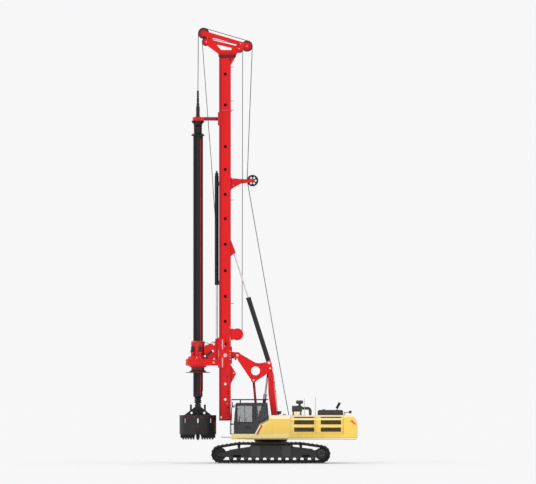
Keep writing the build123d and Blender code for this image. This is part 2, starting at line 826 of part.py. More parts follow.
def cab_door():
    y_out = body_half_width
    door = block((door_x[0] + door_gap, door_x[1] - door_gap), (y_out - cab_wall, y_out),
                 (cab_door_z[0] + door_gap, cab_door_z[1] - door_gap))
    door = fillet(door.edges().filter_by(Axis.Y), 30)
    door -= side_slab(door_window(), y_out - cab_wall - 1, y_out + 1)
    handle_x = (door_x[1] - 60, door_x[1] - 30)
    handle = block(handle_x, (y_out - 1, y_out + 45), (door_handle_z, door_handle_z + 30))
    handle += block(handle_x, (y_out - 1, y_out + 45), (door_handle_z + 170, door_handle_z + 200))
    handle += block(handle_x, (y_out + 25, y_out + 45), (door_handle_z, door_handle_z + 200))
    door += handle
    for z in hinge_heights(cab_door_z):
        door += hinge_eye(door_x[0], y_out, z, 1)
    return door


def side_pane(view, wall_middle_y):
    view = offset(view, amount=-slide_fit)
    return side_slab(view, wall_middle_y - pane_thick / 2, wall_middle_y + pane_thick / 2)


def door_glass():
    return side_pane(door_window(), body_half_width - cab_wall / 2)


def cab_glass():
    left_y, right_y = body_half_width - cab_wall / 2, cab_inner_y + cab_wall / 2
    panes = [side_pane(rear_side_window(), left_y), side_pane(rear_side_window(), right_y),
             side_pane(front_side_window(), right_y)]
    width = (cab_inner_y, body_half_width)
    skin = side_slab(cab_side_view(cab_wall / 2 - pane_thick / 2), *width)
    skin -= side_slab(cab_side_view(cab_wall / 2 + pane_thick / 2), *width)
    panes.append(skin & front_slab(offset(windscreen_view(), amount=-slide_fit), 1600, 2000))
    panes.append(skin & front_slab(offset(rear_window_view(), amount=-slide_fit), 0, 300))
    return panes


def cab_interior():
    # seat between two consoles, both set out from the cab's walls
    middle_y = (cab_inner_y + body_half_width) / 2
    room_half = (body_half_width - cab_inner_y) / 2 - cab_wall
    console_y = room_half - console_wall_gap - console_width / 2
    seat_half = room_half - console_wall_gap - console_width - seat_console_gap
    floor_z = deck_top_z + cab_floor
    base = block((620, 1060), (middle_y - seat_half + 20, middle_y + seat_half - 20), (floor_z, seat_z - 140))
    cushion = block((560, 1120), (middle_y - seat_half, middle_y + seat_half), (seat_z - 140, seat_z))
    cushion = fillet(cushion.edges(), 40)
    back_view = outline((500, seat_z - 40), (680, seat_z - 40), (560, seat_z + 700), (420, seat_z + 700))
    back_view = fillet(back_view.vertices().group_by(Axis.Y)[-1], 50)
    seat = base + cushion + side_slab(back_view, middle_y - seat_half + 15, middle_y + seat_half - 15)
    consoles = []
    for y in (middle_y - console_y, middle_y + console_y):
        console = block((640, 1300), (y - console_width / 2, y + console_width / 2), (floor_z, seat_z + 80))
        console += post(1240, y, 14, seat_z + 60, seat_z + 240) + post(1240, y, 28, seat_z + 210,
                                                                       seat_z + 290)
        consoles.append(console)
    screen_post = post(1560, middle_y - console_y, 25, floor_z, seat_z + 210)
    screen_post += Pos(1560, middle_y - console_y, seat_z + 290) * Rot(0, -15, 0) * Box(50, 90, 300)
    return [seat, screen_post] + consoles


def cab_guard():
    plate = block((cab_rear_x + 20, guard_front_x), (cab_inner_y + 20, body_half_width - 20),
                  (guard_plate_z, guard_plate_z + guard_plate_thick))
    for x in (285.0, 1485.0):
        for y in (cab_inner_y + 100, body_half_width - 160):
            plate += block((x, x + 60), (y, y + 60), (cab_top_z, guard_plate_z + 1))
    for i in range(7):
        y = cab_inner_y + 50 + i * (body_half_width - cab_inner_y - 100) / 6
        plate += post(guard_front_x - 20, y, 11, deck_top_z, guard_plate_z + 20)
    for z in (1620.0, 2240.0, 2900.0):
        plate += block((guard_front_x - 35, guard_front_x - 5), (cab_inner_y + 35, body_half_width - 35),
                       (z, z + 30))
    return plate


def main_winch_drum():
    half = main_winch_half
    drum = pin(main_winch, main_winch_drum_radius, -half + 1, half - 1)
    drum -= pin(main_winch, main_winch_drum_radius - 40, -half + 60, half - 60)
    flange = pin(main_winch, main_winch_flange, half - winch_flange_thick, half)
    return drum + both_sides(flange) + pin(main_winch, winch_pin_radius, -web_inner - web_thick,
                                           web_inner + web_thick)


# Linkage between the upper frame and the mast

def boom():
    half = boom_half_width
    side = outline((boom_foot[0] + 150, boom_foot[1]), (120, 3500), (boom_top[0] + 110, boom_top[1]),
                   (boom_top[0] - 110, boom_top[1]), (-215, 3500), (boom_foot[0] - 150, boom_foot[1]))
    side += Pos(*boom_foot) * Circle(155) + Pos(*boom_top) * Circle(110)
    side += round_hull((lift_top[0], lift_top[1], 78), (boom_top[0], boom_top[1] - 150, 110))
    leg = side_slab(side, half - boom_leg_width, half)
    frame = both_sides(leg)
    frame += pin(boom_foot, 130, -half, half) + pin(boom_top, 95, -half, half)
    frame += pin((-60, 3100), 80, -half, half)
    frame += pin(lift_top, lift_pin_radius - 5, -half + boom_leg_width - 1, half - boom_leg_width + 1)
    frame += capped_pin(boom_foot, boom_pin_radius, half - 1, web_inner + web_thick)
    frame += capped_pin(boom_top, boom_top_pin_radius, half - 1, web_inner + triangle_plate)
    return frame


def support_rod():
    half = boom_half_width
    side = outline((support_foot[0] + 62, support_foot[1]), (support_top[0] + 62, support_top[1]),
                   (support_top[0] - 62, support_top[1]), (support_foot[0] - 62, support_foot[1]))
    side += Pos(*support_foot) * Circle(100) + Pos(*support_top) * Circle(95)
    rod = side_slab(side, half - support_width, half)
    outer_foot = web_inner + web_thick
    outer_top = web_inner + triangle_plate
    for centre, outer in ((support_foot, outer_foot), (support_top, outer_top)):
        rod += pin(centre, support_pin_radius, half - 1, outer + slide_fit + cap_thick)
        rod += pin(centre, support_pin_radius + cap_rim, outer + slide_fit, outer + slide_fit + cap_thick)
    return rod


def triangle_side_view():
    shape = outline((1676, 5548), (758, 5012), (528, 4990), (222, 5043), (84, 5130), (-50, 5000),
                    (-80, 4740),
                    (0, 4640), (222, 4430), (758, 4079), (941, 4094), (1661, 5165))
    shape += Pos(*mast_pivot) * Circle(155) + Pos(*cylinder_seat) * Circle(120)
    shape += Pos(*support_top) * Circle(125) + Pos(*boom_top) * Circle(130)
    bores = ((mast_pivot, pivot_pin_radius), (cylinder_seat, tilt_shaft_radius),
             (support_top, support_pin_radius), (boom_top, boom_top_pin_radius))
    for centre, radius in bores:
        shape -= Pos(*centre) * Circle(radius + pin_fit)
    return shape - Pos(*triangle_hole) * Circle(triangle_hole_radius)


def triangle():
    plate = side_slab(triangle_side_view(), web_inner, web_inner + triangle_plate)
    frame = both_sides(plate)
    for centre, radius in (((1230, 4950), 140), ((340, 4850), 70)):
        frame += pin(centre, radius, -web_inner - 1, web_inner + 1) - pin(centre, radius - 20,
                                                                          -web_inner + 5, web_inner - 5)
    return frame


def crosshead():
    half = boom_half_width
    head = pin(mast_pivot, 120, -half, half)
    head += capped_pin(mast_pivot, pivot_pin_radius, half - 1, web_inner + triangle_plate)
    x, z = mast_pivot
    boss_rear_x = mast_rear_x - 195
    head += Pos(0, 0, z) * along_x(150, x + 20, boss_rear_x - running_gap)
    head += Pos(0, 0, z) * along_x(pivot_journal_radius, x + 20, mast_rear_x - 10)
    return head


def cylinder_barrel(radius, bore, gland, length, foot_z):
    # tube from its closed foot to the gland, on local Z
    tube = along_z(radius, foot_z, length - 60) + along_z(radius + 8, length - 110, length)
    tube -= along_z(bore, foot_z + 60, length - 90)
    return tube - along_z(gland + pin_fit, length - 100, length + 1)


def lift_cylinders():
    place = axis_plane(lift_foot, lift_top)
    full = distance(lift_foot, lift_top)
    barrel = cylinder_barrel(lift_barrel_radius, lift_rod_radius + 14, lift_rod_radius, lift_barrel_length,
                             lift_eye_radius - 10)
    barrel += along_y(lift_eye_radius, lift_eye_width)
    barrel -= along_y(lift_pin_radius + pin_fit, lift_eye_width + 2)
    rod = along_z(lift_rod_radius, 700, full - 60) + along_y(lift_eye_radius - 6, lift_eye_width - 10, full)
    rod -= along_y(lift_pin_radius - 5 + open_eye_clearance, lift_eye_width + 2, full)
    barrels = [Pos(0, y, 0) * (place * barrel) for y in (lift_y, -lift_y)]
    rods = [Pos(0, y, 0) * (place * rod) for y in (lift_y, -lift_y)]
    return barrels, rods


def tilt_cylinder_yokes():
    # one shaft across the triangle's plates, with a trunnion block for each cylinder
    place = axis_plane(cylinder_seat, tilt_top)
    shaft = pin(cylinder_seat, tilt_shaft_radius, -web_inner - triangle_plate - slide_fit - cap_thick,
                web_inner + triangle_plate + slide_fit + cap_thick)
    cap = pin(cylinder_seat, tilt_shaft_radius + cap_rim, web_inner + triangle_plate + slide_fit,
              web_inner + triangle_plate + slide_fit + cap_thick)
    shaft += both_sides(cap)
    half = tilt_block_half
    reach = half + tilt_fork_gap + tilt_fork_plate
    for y in (tilt_y, -tilt_y):
        cross = Box(2 * half, 2 * half, 2 * half) + Rot(0, 90, 0) * Cylinder(tilt_trunnion_radius,
                                                                             2 * reach)
        shaft += Pos(0, y, 0) * (place * cross)
    return shaft


def tilt_cylinder():
    # barrel with a fork at its foot, and the rod with its eye, on local Z
    full = distance(cylinder_seat, tilt_top)
    half = tilt_block_half
    foot_z = half + 30
    barrel = cylinder_barrel(tilt_barrel_radius, tilt_rod_radius + 30, tilt_rod_radius, tilt_barrel_length,
                             foot_z)
    for side in (1, -1):
        low, high = sorted((side * (half + tilt_fork_gap), side * (half + tilt_fork_gap + tilt_fork_plate)))
        lug = Pos(low, 0, 0) * Rot(0, 90, 0) * Cylinder(58, high - low,
                                                        align=(Align.CENTER, Align.CENTER, Align.MIN))
        lug += block((low, high), (-58, 58), (0, foot_z + 10))
        barrel += lug
    barrel -= Rot(0, 90, 0) * Cylinder(tilt_trunnion_radius + pin_fit, 4 * half)
    rod = along_z(tilt_rod_radius, 1500, full - 40) + along_y(tilt_eye_radius, tilt_eye_width, full)
    return barrel, rod


# Mast

def box_tube(low_z, high_z):
    middle_x = (mast_rear_x + mast_front_x) / 2
    depth = mast_front_x - mast_rear_x
    section = Pos(middle_x, 0) * (Rectangle(depth, 2 * mast_half_width)
                                  - Rectangle(depth - 2 * mast_wall, 2 * (mast_half_width - mast_wall)))
    for side in (1, -1):
        rail = Rectangle(rail_thick, rail_width + mast_wall)
        section += Pos(mast_front_x - rail_thick / 2,
                       side * (mast_half_width + (rail_width - mast_wall) / 2)) * rail
    return plan_slab(section, low_z, high_z)


def joint_flange(low_z, high_z):
    # a rim on the sides and the rear that stops short of the guide rails
    rim_half = mast_half_width + joint_flange_rim
    rim_front_x = mast_front_x - rail_thick - joint_rim_rail_gap
    section = outline((mast_rear_x - joint_flange_rim, -rim_half), (rim_front_x, -rim_half),
                      (rim_front_x, rim_half),
                      (mast_rear_x - joint_flange_rim, rim_half))
    section += outline((rim_front_x - 1, -mast_half_width), (mast_front_x, -mast_half_width),
                       (mast_front_x, mast_half_width), (rim_front_x - 1, mast_half_width))
    section -= Pos((mast_rear_x + mast_front_x) / 2, 0) * Rectangle(
        mast_front_x - mast_rear_x - 4 * mast_wall, 2 * (mast_half_width - 2 * mast_wall))
    return plan_slab(section, low_z, high_z)


def side_holes(heights, radius):
    holes = Pos(mast_hole_x, heights[0]) * Circle(radius)
    for z in heights[1:]:
        holes += Pos(mast_hole_x, z) * Circle(radius)
    return side_slab(holes, -mast_half_width - 1, mast_half_width + 1)


def guide_arm():
    x, z = guide_centre
    side = outline((mast_rear_x, z + 130), (mast_rear_x - 493, z + 80), (x + 40, z + 75),
                   (x - 20, z - 75), (mast_rear_x - 493, z - 160), (mast_rear_x, z - 440))
    side += Pos(*guide_centre) * Circle(80)
    arm = both_sides(side_slab(side, guide_plate_inner, guide_plate_inner + guide_plate))
    arm += block((mast_rear_x - 353, mast_rear_x), (-guide_plate_inner - 1, guide_plate_inner + 1),
                 (z - 160, z - 130))
    arm += block((mast_rear_x - 30, mast_rear_x), (-200, 200), (z - 470, z + 160))
    return arm + pin(guide_centre, sheave_pin_radius, -guide_plate_inner - 1, guide_plate_inner + 1)


def aux_winch_cheeks():
    side = round_hull((aux_winch[0], aux_winch[1], 175), (mast_rear_x - 60, aux_winch[1] + 230, 60),
                      (mast_rear_x - 60, aux_winch[1] - 230, 60))
    side -= Pos(*aux_winch) * Circle(winch_pin_radius + pin_fit)
    inner = aux_winch_half + running_gap
    return both_sides(side_slab(side, inner, inner + aux_winch_cheek))


def tilt_bracket():
    # clevis plates for both tilt cylinders, with a boss on each outer face
    x, z = tilt_top
    side = round_hull((x, z, 85), (mast_rear_x - 10, z + 560, 10), (mast_rear_x - 10, z - 190, 10))
    plates = None
    gap = tilt_eye_width / 2 + tilt_eye_side_gap
    for y in (tilt_y - gap - tilt_bracket_plate, tilt_y + gap):
        plate = side_slab(side, y, y + tilt_bracket_plate)
        plates = plate if plates is None else plates + plate
    plates += pin((x, z), 55, tilt_y + gap + tilt_bracket_plate - 1, tilt_y + gap + tilt_bracket_plate + 16)
    return both_sides(plates)


def mast():
    tube = box_tube(mast_foot_z, mast_joint_z - joint_flange_thick)
    tube -= side_holes(mast_hole_z, mast_hole_radius) + side_holes(mast_low_hole_z, 60)
    tube += joint_flange(mast_joint_z - joint_flange_thick, mast_joint_z)
    middle_x = (mast_rear_x + mast_front_x) / 2
    tube += plan_slab(Pos(middle_x, 0) * Rectangle(mast_front_x - mast_rear_x + 20,
                                                   2 * mast_half_width + 20),
                      mast_foot_z - 20, mast_foot_z)
    lug = outline((mast_rear_x + 1, 4900), (1760, 4530), (1725, 4465), (1760, 4400),
                  (mast_rear_x + 1, 3960))
    tube += both_sides(side_slab(lug, 200, 250))
    x, z = mast_pivot
    tube += block((mast_rear_x - 60, mast_rear_x + 1), (-250, 250), (z - 430, z + 430))
    tube += Pos(0, 0, z) * along_x(170, mast_rear_x - 195, mast_rear_x)
    tube -= Pos(0, 0, z) * along_x(pivot_journal_radius + pin_fit, mast_rear_x - 196, mast_rear_x + 30)
    tube += guide_arm() + aux_winch_cheeks() + tilt_bracket()
    return tube


def mast_head_section():
    tube = box_tube(mast_joint_z + joint_flange_thick, mast_top_z)
    tube -= side_holes(top_hole_z, mast_hole_radius)
    tube += joint_flange(mast_joint_z, mast_joint_z + joint_flange_thick)
    flare = outline((mast_rear_x + 1, mast_top_z - 410), (1750, mast_top_z), (mast_rear_x + 1, mast_top_z))
    tube += both_sides(side_slab(flare, mast_half_width - 40, mast_half_width))
    flange_x = (1735.0, 2615.0)
    tube += block(flange_x, (-mast_half_width - 20, mast_half_width + 20),
                  (mast_top_z, mast_top_z + head_flange_thick / 2))
    return tube


def pulley_frame():
    top = mast_top_z
    base_z = top + head_flange_thick / 2
    side = round_hull((main_front[0], main_front[1], 130), (main_rear[0], main_rear[1], 130))
    side += outline((3187, top + 570), (2650, top + 170), (2600, base_z), (1760, base_z), (1600, top + 250),
                    (1330, top + 390), (1350, top + 690), (2900, top + 1170), (3340, top + 810))
    side += round_hull((aux_front[0], aux_front[1], 115), (2950, top + 650, 160))
    side += Pos(*aux_rear) * Circle(120)
    slot = round_hull((2850, top + 880, 55), (1760, top + 605, 45))
    gap = outline((2718, top + 617), (2473, top + 340), (1959, top + 340), (1959, top + 440))
    side = side - slot - fillet(gap.vertices(), 25)
    inner = head_plate_inner
    frame = both_sides(side_slab(side, inner, inner + head_plate))
    frame += block((1760, 2600), (-mast_half_width, mast_half_width), (base_z, base_z + 45))
    for centre in (main_front, main_rear, aux_front, aux_rear):
        frame += pin(centre, sheave_pin_radius, -inner - 1, inner + 1)
        frame += both_sides(pin(centre, sheave_pin_radius + 20, inner + head_plate - 1,
                                inner + head_plate + 18))
    for x, z in ((2250, top + 250), (2850, top + 590)):
        frame += pin((x, z), 45, -inner - 1, inner + 1)
    for sheave, y in ((main_front, 0.0), (main_rear, 0.0), (aux_front, aux_rope_y), (aux_rear, aux_rope_y)):
        width = main_sheave_width if y == 0.0 else aux_sheave_width
        for low, high in ((-inner - 1, y - width / 2 - slide_fit), (y + width / 2 + slide_fit, inner + 1)):
            frame += pin(sheave, sheave_pin_radius + 18, low, high)
    return frame


def sheave(centre, radius, width, y=0.0, holes=6):
    hub = sheave_pin_radius + 35
    half = width / 2
    web = width * 0.16
    rim = radius * 0.78
    groove = 26.0
    half_profile = [(sheave_pin_radius + pin_fit, half), (hub, half), (hub, web), (rim, web), (rim, half),
                    (radius, half), (radius - groove, 8)]
    profile = half_profile + [(r, -a) for r, a in reversed(half_profile)]
    wheel = revolve(outline(*profile), Axis.Y)
    ring = (hub + rim) / 2
    for i in range(holes):
        angle = 2 * pi * i / holes
        hole = Pos(ring * cos(angle), 0, ring * sin(angle)) * along_y((rim - hub) * 0.33, width)
        wheel -= hole
    return Pos(centre[0], y, centre[1]) * wheel


def aux_winch_drum_solid():
    half = aux_winch_half
    drum = pin(aux_winch, aux_winch_drum_radius, -half + 1, half - 1)
    drum -= pin(aux_winch, aux_winch_drum_radius - 35, -half + 50, half - 50)
    drum += both_sides(pin(aux_winch, aux_winch_flange, half - winch_flange_thick, half))
    reach = half + running_gap + aux_winch_cheek + 20
    return drum + pin(aux_winch, winch_pin_radius, -reach, reach)


def crowd_barrel():
    low, high = crowd_barrel_z
    barrel = post(crowd_x, 0, crowd_barrel_radius, low, high)
    for z in (low, high - 500):
        barrel += block((mast_front_x, crowd_x), (-110, 110), (z, z + 220))
    barrel -= post(crowd_x, 0, crowd_bore_radius, low + 150, high - 40)
    return barrel - post(crowd_x, 0, crowd_rod_radius + pin_fit, low - 1, low + 151)


def crowd_rod():
    return post(crowd_x, 0, crowd_rod_radius, carriage_z[1] - 120, crowd_rod_top_z)


# Carriage, drive and kelly

def carriage():
    low, high = carriage_z
    fit = slide_fit
    outer = mast_half_width + rail_width + fit + carriage_side
    front = mast_front_x + fit + carriage_front_plate
    section = outline((carriage_rear_x, -outer), (front, -outer), (front, outer), (carriage_rear_x, outer))
    rail_half = mast_half_width + rail_width + fit
    section -= outline((mast_front_x - rail_thick - fit, -rail_half), (mast_front_x + fit, -rail_half),
                       (mast_front_x + fit, rail_half), (mast_front_x - rail_thick - fit, rail_half))
    mast_room = mast_half_width + running_gap
    section -= outline((carriage_rear_x - 1, -mast_room), (mast_front_x, -mast_room),
                       (mast_front_x, mast_room),
                       (carriage_rear_x - 1, mast_room))
    body = plan_slab(section, low, high)
    window = fillet(outline((-210, low + 650), (210, low + 650), (210, high - 260),
                            (-210, high - 260)).vertices(), 60)
    body -= front_slab(window, front - 90, front + 10)
    gusset = outline((front - 1, drive_z[1]), (front - 1, high - 30), (front + 95, high - 150),
                     (2935, 5965), (3135, 5930), (3290, 5870), (3290, 5690), (3190, drive_cover_z + 5),
                     (2950, drive_cover_z + 5), (2950, drive_z[1]))
    body += both_sides(side_slab(gusset, 300, 345))
    seat = block((front - 1, crowd_x + 70), (-120, 120), (high - 240, high - 120))
    body += seat
    body += post(crowd_x, 0, 75, high - 240, high - 60) - post(crowd_x, 0, crowd_rod_radius, high - 120,
                                                               high)
    return body


def rotary_drive():
    low, high = drive_z
    rear_x = mast_front_x + slide_fit + carriage_front_plate
    plan = Pos(kelly_x, 0) * Circle(drive_radius)
    half = drive_rear_half_width
    plan += outline((rear_x, -half), (kelly_x, -drive_radius + 20), (kelly_x, drive_radius - 20),
                    (rear_x, half))
    gearbox = plan_slab(plan, low, high)
    gearbox = chamfer(gearbox.edges().group_by(Axis.Z)[0], 25)
    cover_plan = Pos(kelly_x, 0) * Circle(drive_cover_radius) + Pos((3000 + kelly_x) / 2,
                                                                    0) * Rectangle(kelly_x - 3000, 520)
    gearbox += plan_slab(cover_plan, high - 1, drive_cover_z)
    for angle in motor_angles:
        x = kelly_x + motor_ring_radius * cos(radians(angle))
        y = motor_ring_radius * sin(radians(angle))
        gearbox += post(x, y, motor_radius + 30, high - 1, drive_cover_z)
    return gearbox - post(kelly_x, 0, sleeve_radius + slide_fit, low - 30, drive_cover_z + 10)


def drive_motors():
    motors = []
    for angle in motor_angles:
        x = kelly_x + motor_ring_radius * cos(radians(angle))
        y = motor_ring_radius * sin(radians(angle))
        foot = drive_cover_z
        r = motor_radius
        motor = turned(((0, foot), (r, foot), (r, foot + 60), (r - 18, foot + 70), (r - 18, foot + 130),
                        (r, foot + 140),
                        (r, foot + 330), (r - 22, foot + 350), (r - 22, motor_top_z - 60),
                        (r - 40, motor_top_z),
                        (0, motor_top_z)), x, y)
        motors.append(motor)
    return motors


def kelly_sleeve():
    r = sleeve_radius
    bore = sleeve_bore_radius
    cap_low, cap_high = sleeve_cap_z
    return turned(((bore, skirt_z), (skirt_radius, skirt_z), (skirt_radius, skirt_z + 24),
                   (450, skirt_z + 45),
                   (r, skirt_z + 150), (r, 4780), (sleeve_flange_radius, 4800),
                   (sleeve_flange_radius, drive_z[0] - 8),
                   (r, drive_z[0] - 8), (r, cap_low), (sleeve_cap_radius, cap_low),
                   (sleeve_cap_radius, cap_high - 40),
                   (sleeve_cap_radius - 40, cap_high), (bore, cap_high)), kelly_x)


def kelly_outer():
    low = kelly_tube_bottom_z
    r = kelly_outer_radius
    inner = r - kelly_tube_wall
    flange_low, flange_high = kelly_flange_z
    head_low, head_high = kelly_head_z
    bore = stub_radius + 7
    tube = turned(((inner, low), (r, low), (r, flange_low), (kelly_flange_radius, flange_low),
                   (kelly_flange_radius, flange_high), (kelly_neck_radius, flange_high + 90),
                   (kelly_neck_radius, head_low), (kelly_head_radius, head_low),
                   (kelly_head_radius, head_high),
                   (kelly_journal_radius, head_high), (kelly_journal_radius, kelly_top_z),
                   (bore, kelly_top_z),
                   (bore, flange_high + 100), (inner, flange_high + 20)), kelly_x)
    for angle in (180.0, 60.0, -60.0):
        key = Pos(r + kelly_key_height / 2 - 5, 0, (low + 200 + flange_low) / 2) * Box(
            kelly_key_height + 10, kelly_key_width, flange_low - low - 200)
        tube += Pos(kelly_x, 0, 0) * (Rot(0, 0, angle) * key)
    return tube


def kelly_middle():
    inner = middle_radius - middle_wall
    low = kelly_tube_bottom_z
    return turned(((inner, low), (middle_radius, low), (middle_radius, kelly_flange_z[0] - 300),
                   (inner, kelly_flange_z[0] - 300)), kelly_x)


def kelly_inner():
    # innermost section: tube, top stub, and at the foot the spring plate, spring and square stub
    top = kelly_flange_z[0] - 500
    plate_top = kelly_tube_bottom_z - slide_fit
    spring_high = plate_top - kelly_foot_cone
    spring_low = tool_box_top_z + 25
    hollow = inner_radius - inner_wall
    bar = turned(((0, spring_low), (120, spring_low), (120, spring_high), (160, spring_high),
                  (kelly_outer_radius, plate_top - 60),
                  (kelly_outer_radius, plate_top), (inner_radius, plate_top), (inner_radius, top),
                  (stub_radius, top + 60), (stub_radius, stub_top_z), (0, stub_top_z), (0, top - 200),
                  (hollow, top - 200), (hollow, plate_top + 100), (0, plate_top + 100)), kelly_x)
    pitch = (spring_high - spring_low) / spring_coils
    for i in range(spring_coils):
        z = spring_low + (i + 0.5) * pitch
        bar += turned(((110, z - pitch * 0.46), (spring_radius - 24, z - pitch * 0.46),
                       (spring_radius, z - pitch * 0.2),
                       (spring_radius, z + pitch * 0.2), (spring_radius - 24, z + pitch * 0.46),
                       (110, z + pitch * 0.46)), kelly_x)
    bar += block((kelly_x - 100, kelly_x + 100), (-100, 100), (2500, spring_low + 1))
    return bar


def swivel():
    low = stub_top_z + slide_fit
    lower = turned(((0, low), (60, low), (70, low + 40), (70, low + 160), (38, low + 200), (60, low + 250),
                    (60, low + 420),
                    (34, low + 470), (52, low + 520), (52, low + 640), (0, low + 640)), kelly_x)
    half = rope_eye_width / 2
    eye = round_hull((kelly_x, rope_eye_z, 50), (kelly_x, low + 600, 50))
    lower += side_slab(eye, -half, half)
    return lower - pin((kelly_x, rope_eye_z), rope_eye_bore, -half - 1, half + 1)


def follower_frame():
    low, high = follower_z
    fit = slide_fit
    rail_half = mast_half_width + rail_width + fit
    outer = rail_half + 45
    front = mast_front_x + fit
    arms = outline((front, -outer), (front + 280, -outer), (kelly_x - 60, -follower_radius),
                   (kelly_x - 60, follower_radius),
                   (front + 280, outer), (front, outer))
    arms -= fillet(outline((front - 1, -320), (front + 260, -320), (3180, -130), (3180, 130),
                           (front + 260, 320),
                           (front - 1, 320)).vertices(), 30)
    arms += Pos(kelly_x, 0) * Circle(follower_radius)
    frame = plan_slab(arms, low, high)
    frame -= post(kelly_x, 0, kelly_journal_radius + slide_fit, low - 1, high + 1)
    shoe = outline((mast_front_x - rail_thick - fit - 90, rail_half - rail_width + running_gap),
                   (mast_front_x - rail_thick - fit, rail_half - rail_width + running_gap),
                   (mast_front_x - rail_thick - fit, rail_half), (front, rail_half),
                   (front, rail_half - rail_width + running_gap),
                   (front + 60, rail_half - rail_width + running_gap), (front + 60, outer),
                   (mast_front_x - rail_thick - fit - 90, outer))
    return frame + both_sides(plan_slab(shoe, *follower_shoe_z))


# Drilling bucket

def bucket():
    low, high = bucket_bottom_z, bucket_top_z
    r = bucket_radius
    shell = turned(((r - bucket_wall, low), (r, low), (r, high), (r - bucket_wall, high)), kelly_x)
    for i in range(bucket_slot_count):
        slot = Pos(r - bucket_wall / 2, 0, bucket_slot_z) * Box(bucket_wall * 3, bucket_slot[0],
                                                                bucket_slot[1])
        shell -= Pos(kelly_x, 0, 0) * (Rot(0, 0, i * 360 / bucket_slot_count + 90) * slot)
    shell += post(kelly_x, 0, r, high - bucket_lid, high)
    half = tool_box_half
    column = block((kelly_x - half, kelly_x + half), (-half, half), (high - 1, tool_box_top_z))
    shell += column
    gusset = outline((half - 1, high - 1), (690, high - 1), (half + 20, high + 400), (half - 1, high + 400))
    gusset -= Pos(half + 170, high + 110) * Circle(55)
    ear = outline((300, high + 200), (400, high + 200), (400, tool_box_top_z - 30),
                  (300, tool_box_top_z - 30))
    fin = side_slab(gusset, -22, 22) + side_slab(ear, -40, 40)
    for angle in (0, 180):
        shell += Pos(kelly_x, 0, 0) * (Rot(0, 0, angle) * fin)
    cross_fin = side_slab(gusset, -22, 22)
    for angle in (90, 270):
        shell += Pos(kelly_x, 0, 0) * (Rot(0, 0, angle) * cross_fin)
    room = slide_fit
    shell -= block((kelly_x - 100 - room, kelly_x + 100 + room), (-100 - room, 100 + room),
                   (2500 - room, tool_box_top_z + 1))
    lug_view = outline((r - 5, low + 20), (r - 5, low + 170), (r + 25, low + 170),
                       (r + gate_hinge_out + 30, gate_hinge_z))
    lug_view += Pos(r + gate_hinge_out, gate_hinge_z) * Circle(gate_pin_radius + 18)
    lug_view -= Pos(r + gate_hinge_out, gate_hinge_z) * Circle(gate_pin_radius + pin_fit)
    for side in (1, -1):
        lug_x = sorted((kelly_x + side * gate_lug_inner,
                        kelly_x + side * (gate_lug_inner + gate_lug_thick)))
        shell += front_slab(lug_view, *lug_x)
    return shell


def bucket_gate():
    # hinged bottom with two cutting lips, their teeth and the pilot
    high = bucket_bottom_z - slide_fit
    r = bucket_radius - 4
    plate = post(kelly_x, 0, r, high - gate_plate, high)
    for angle in (35.0, 215.0):
        opening = outline((190, 0), (820, 0), (700, 260), (200, 120))
        plate -= Pos(kelly_x, 0,
                     0) * (Rot(0, 0, angle) * plan_slab(opening, high - gate_plate - 1, high + 1))
    lip_low = tool_tip_z + tooth_reach
    for angle in (0.0, 180.0):
        lip = side_slab(outline((120, high - gate_plate + 1), (865, high - gate_plate + 1),
                                (885, lip_low + 55), (850, lip_low), (180, lip_low)), -70, 0)
        for i in range(tooth_count):
            x = 215 + i * 130
            half = tooth_half_width
            tooth = side_slab(outline((x - half, lip_low + 90), (x + half, lip_low + 90),
                                      (x + half, lip_low), (x + half - 12, tool_tip_z + 35),
                                      (x - half + 12, tool_tip_z + 35), (x - half, lip_low)), -95, -20)
            lip += tooth
        plate += Pos(kelly_x, 0, 0) * (Rot(0, 0, angle) * lip)
    plate += turned(((0, tool_tip_z), (60, tool_tip_z + 30), (95, tool_tip_z + 150),
                     (95, high - gate_plate + 1),
                     (0, high - gate_plate + 1)), kelly_x)
    hinge_y = bucket_radius + gate_hinge_out
    knuckle = outline((bucket_radius - 60, high - gate_plate), (hinge_y, high - gate_plate),
                      (hinge_y, gate_hinge_z),
                      (bucket_radius - 60, high - 20))
    knuckle += Pos(hinge_y, gate_hinge_z) * Circle(gate_pin_radius + 12)
    knuckle_half = gate_lug_inner - running_gap
    plate += front_slab(knuckle, kelly_x - knuckle_half, kelly_x + knuckle_half)
    pin_half = gate_lug_inner + gate_lug_thick + 8
    return plate + front_slab(Pos(hinge_y, gate_hinge_z) * Circle(gate_pin_radius), kelly_x - pin_half,
                              kelly_x + pin_half)


def write(name, shape):
    solids = shape if isinstance(shape, (list, tuple)) else [shape]
    flat = []
    for solid in solids:
        flat += list(solid.solids())
    whole = flat[0] if len(flat) == 1 else Compound(children=flat)
    export_step(whole, f"parts/{name}.step")


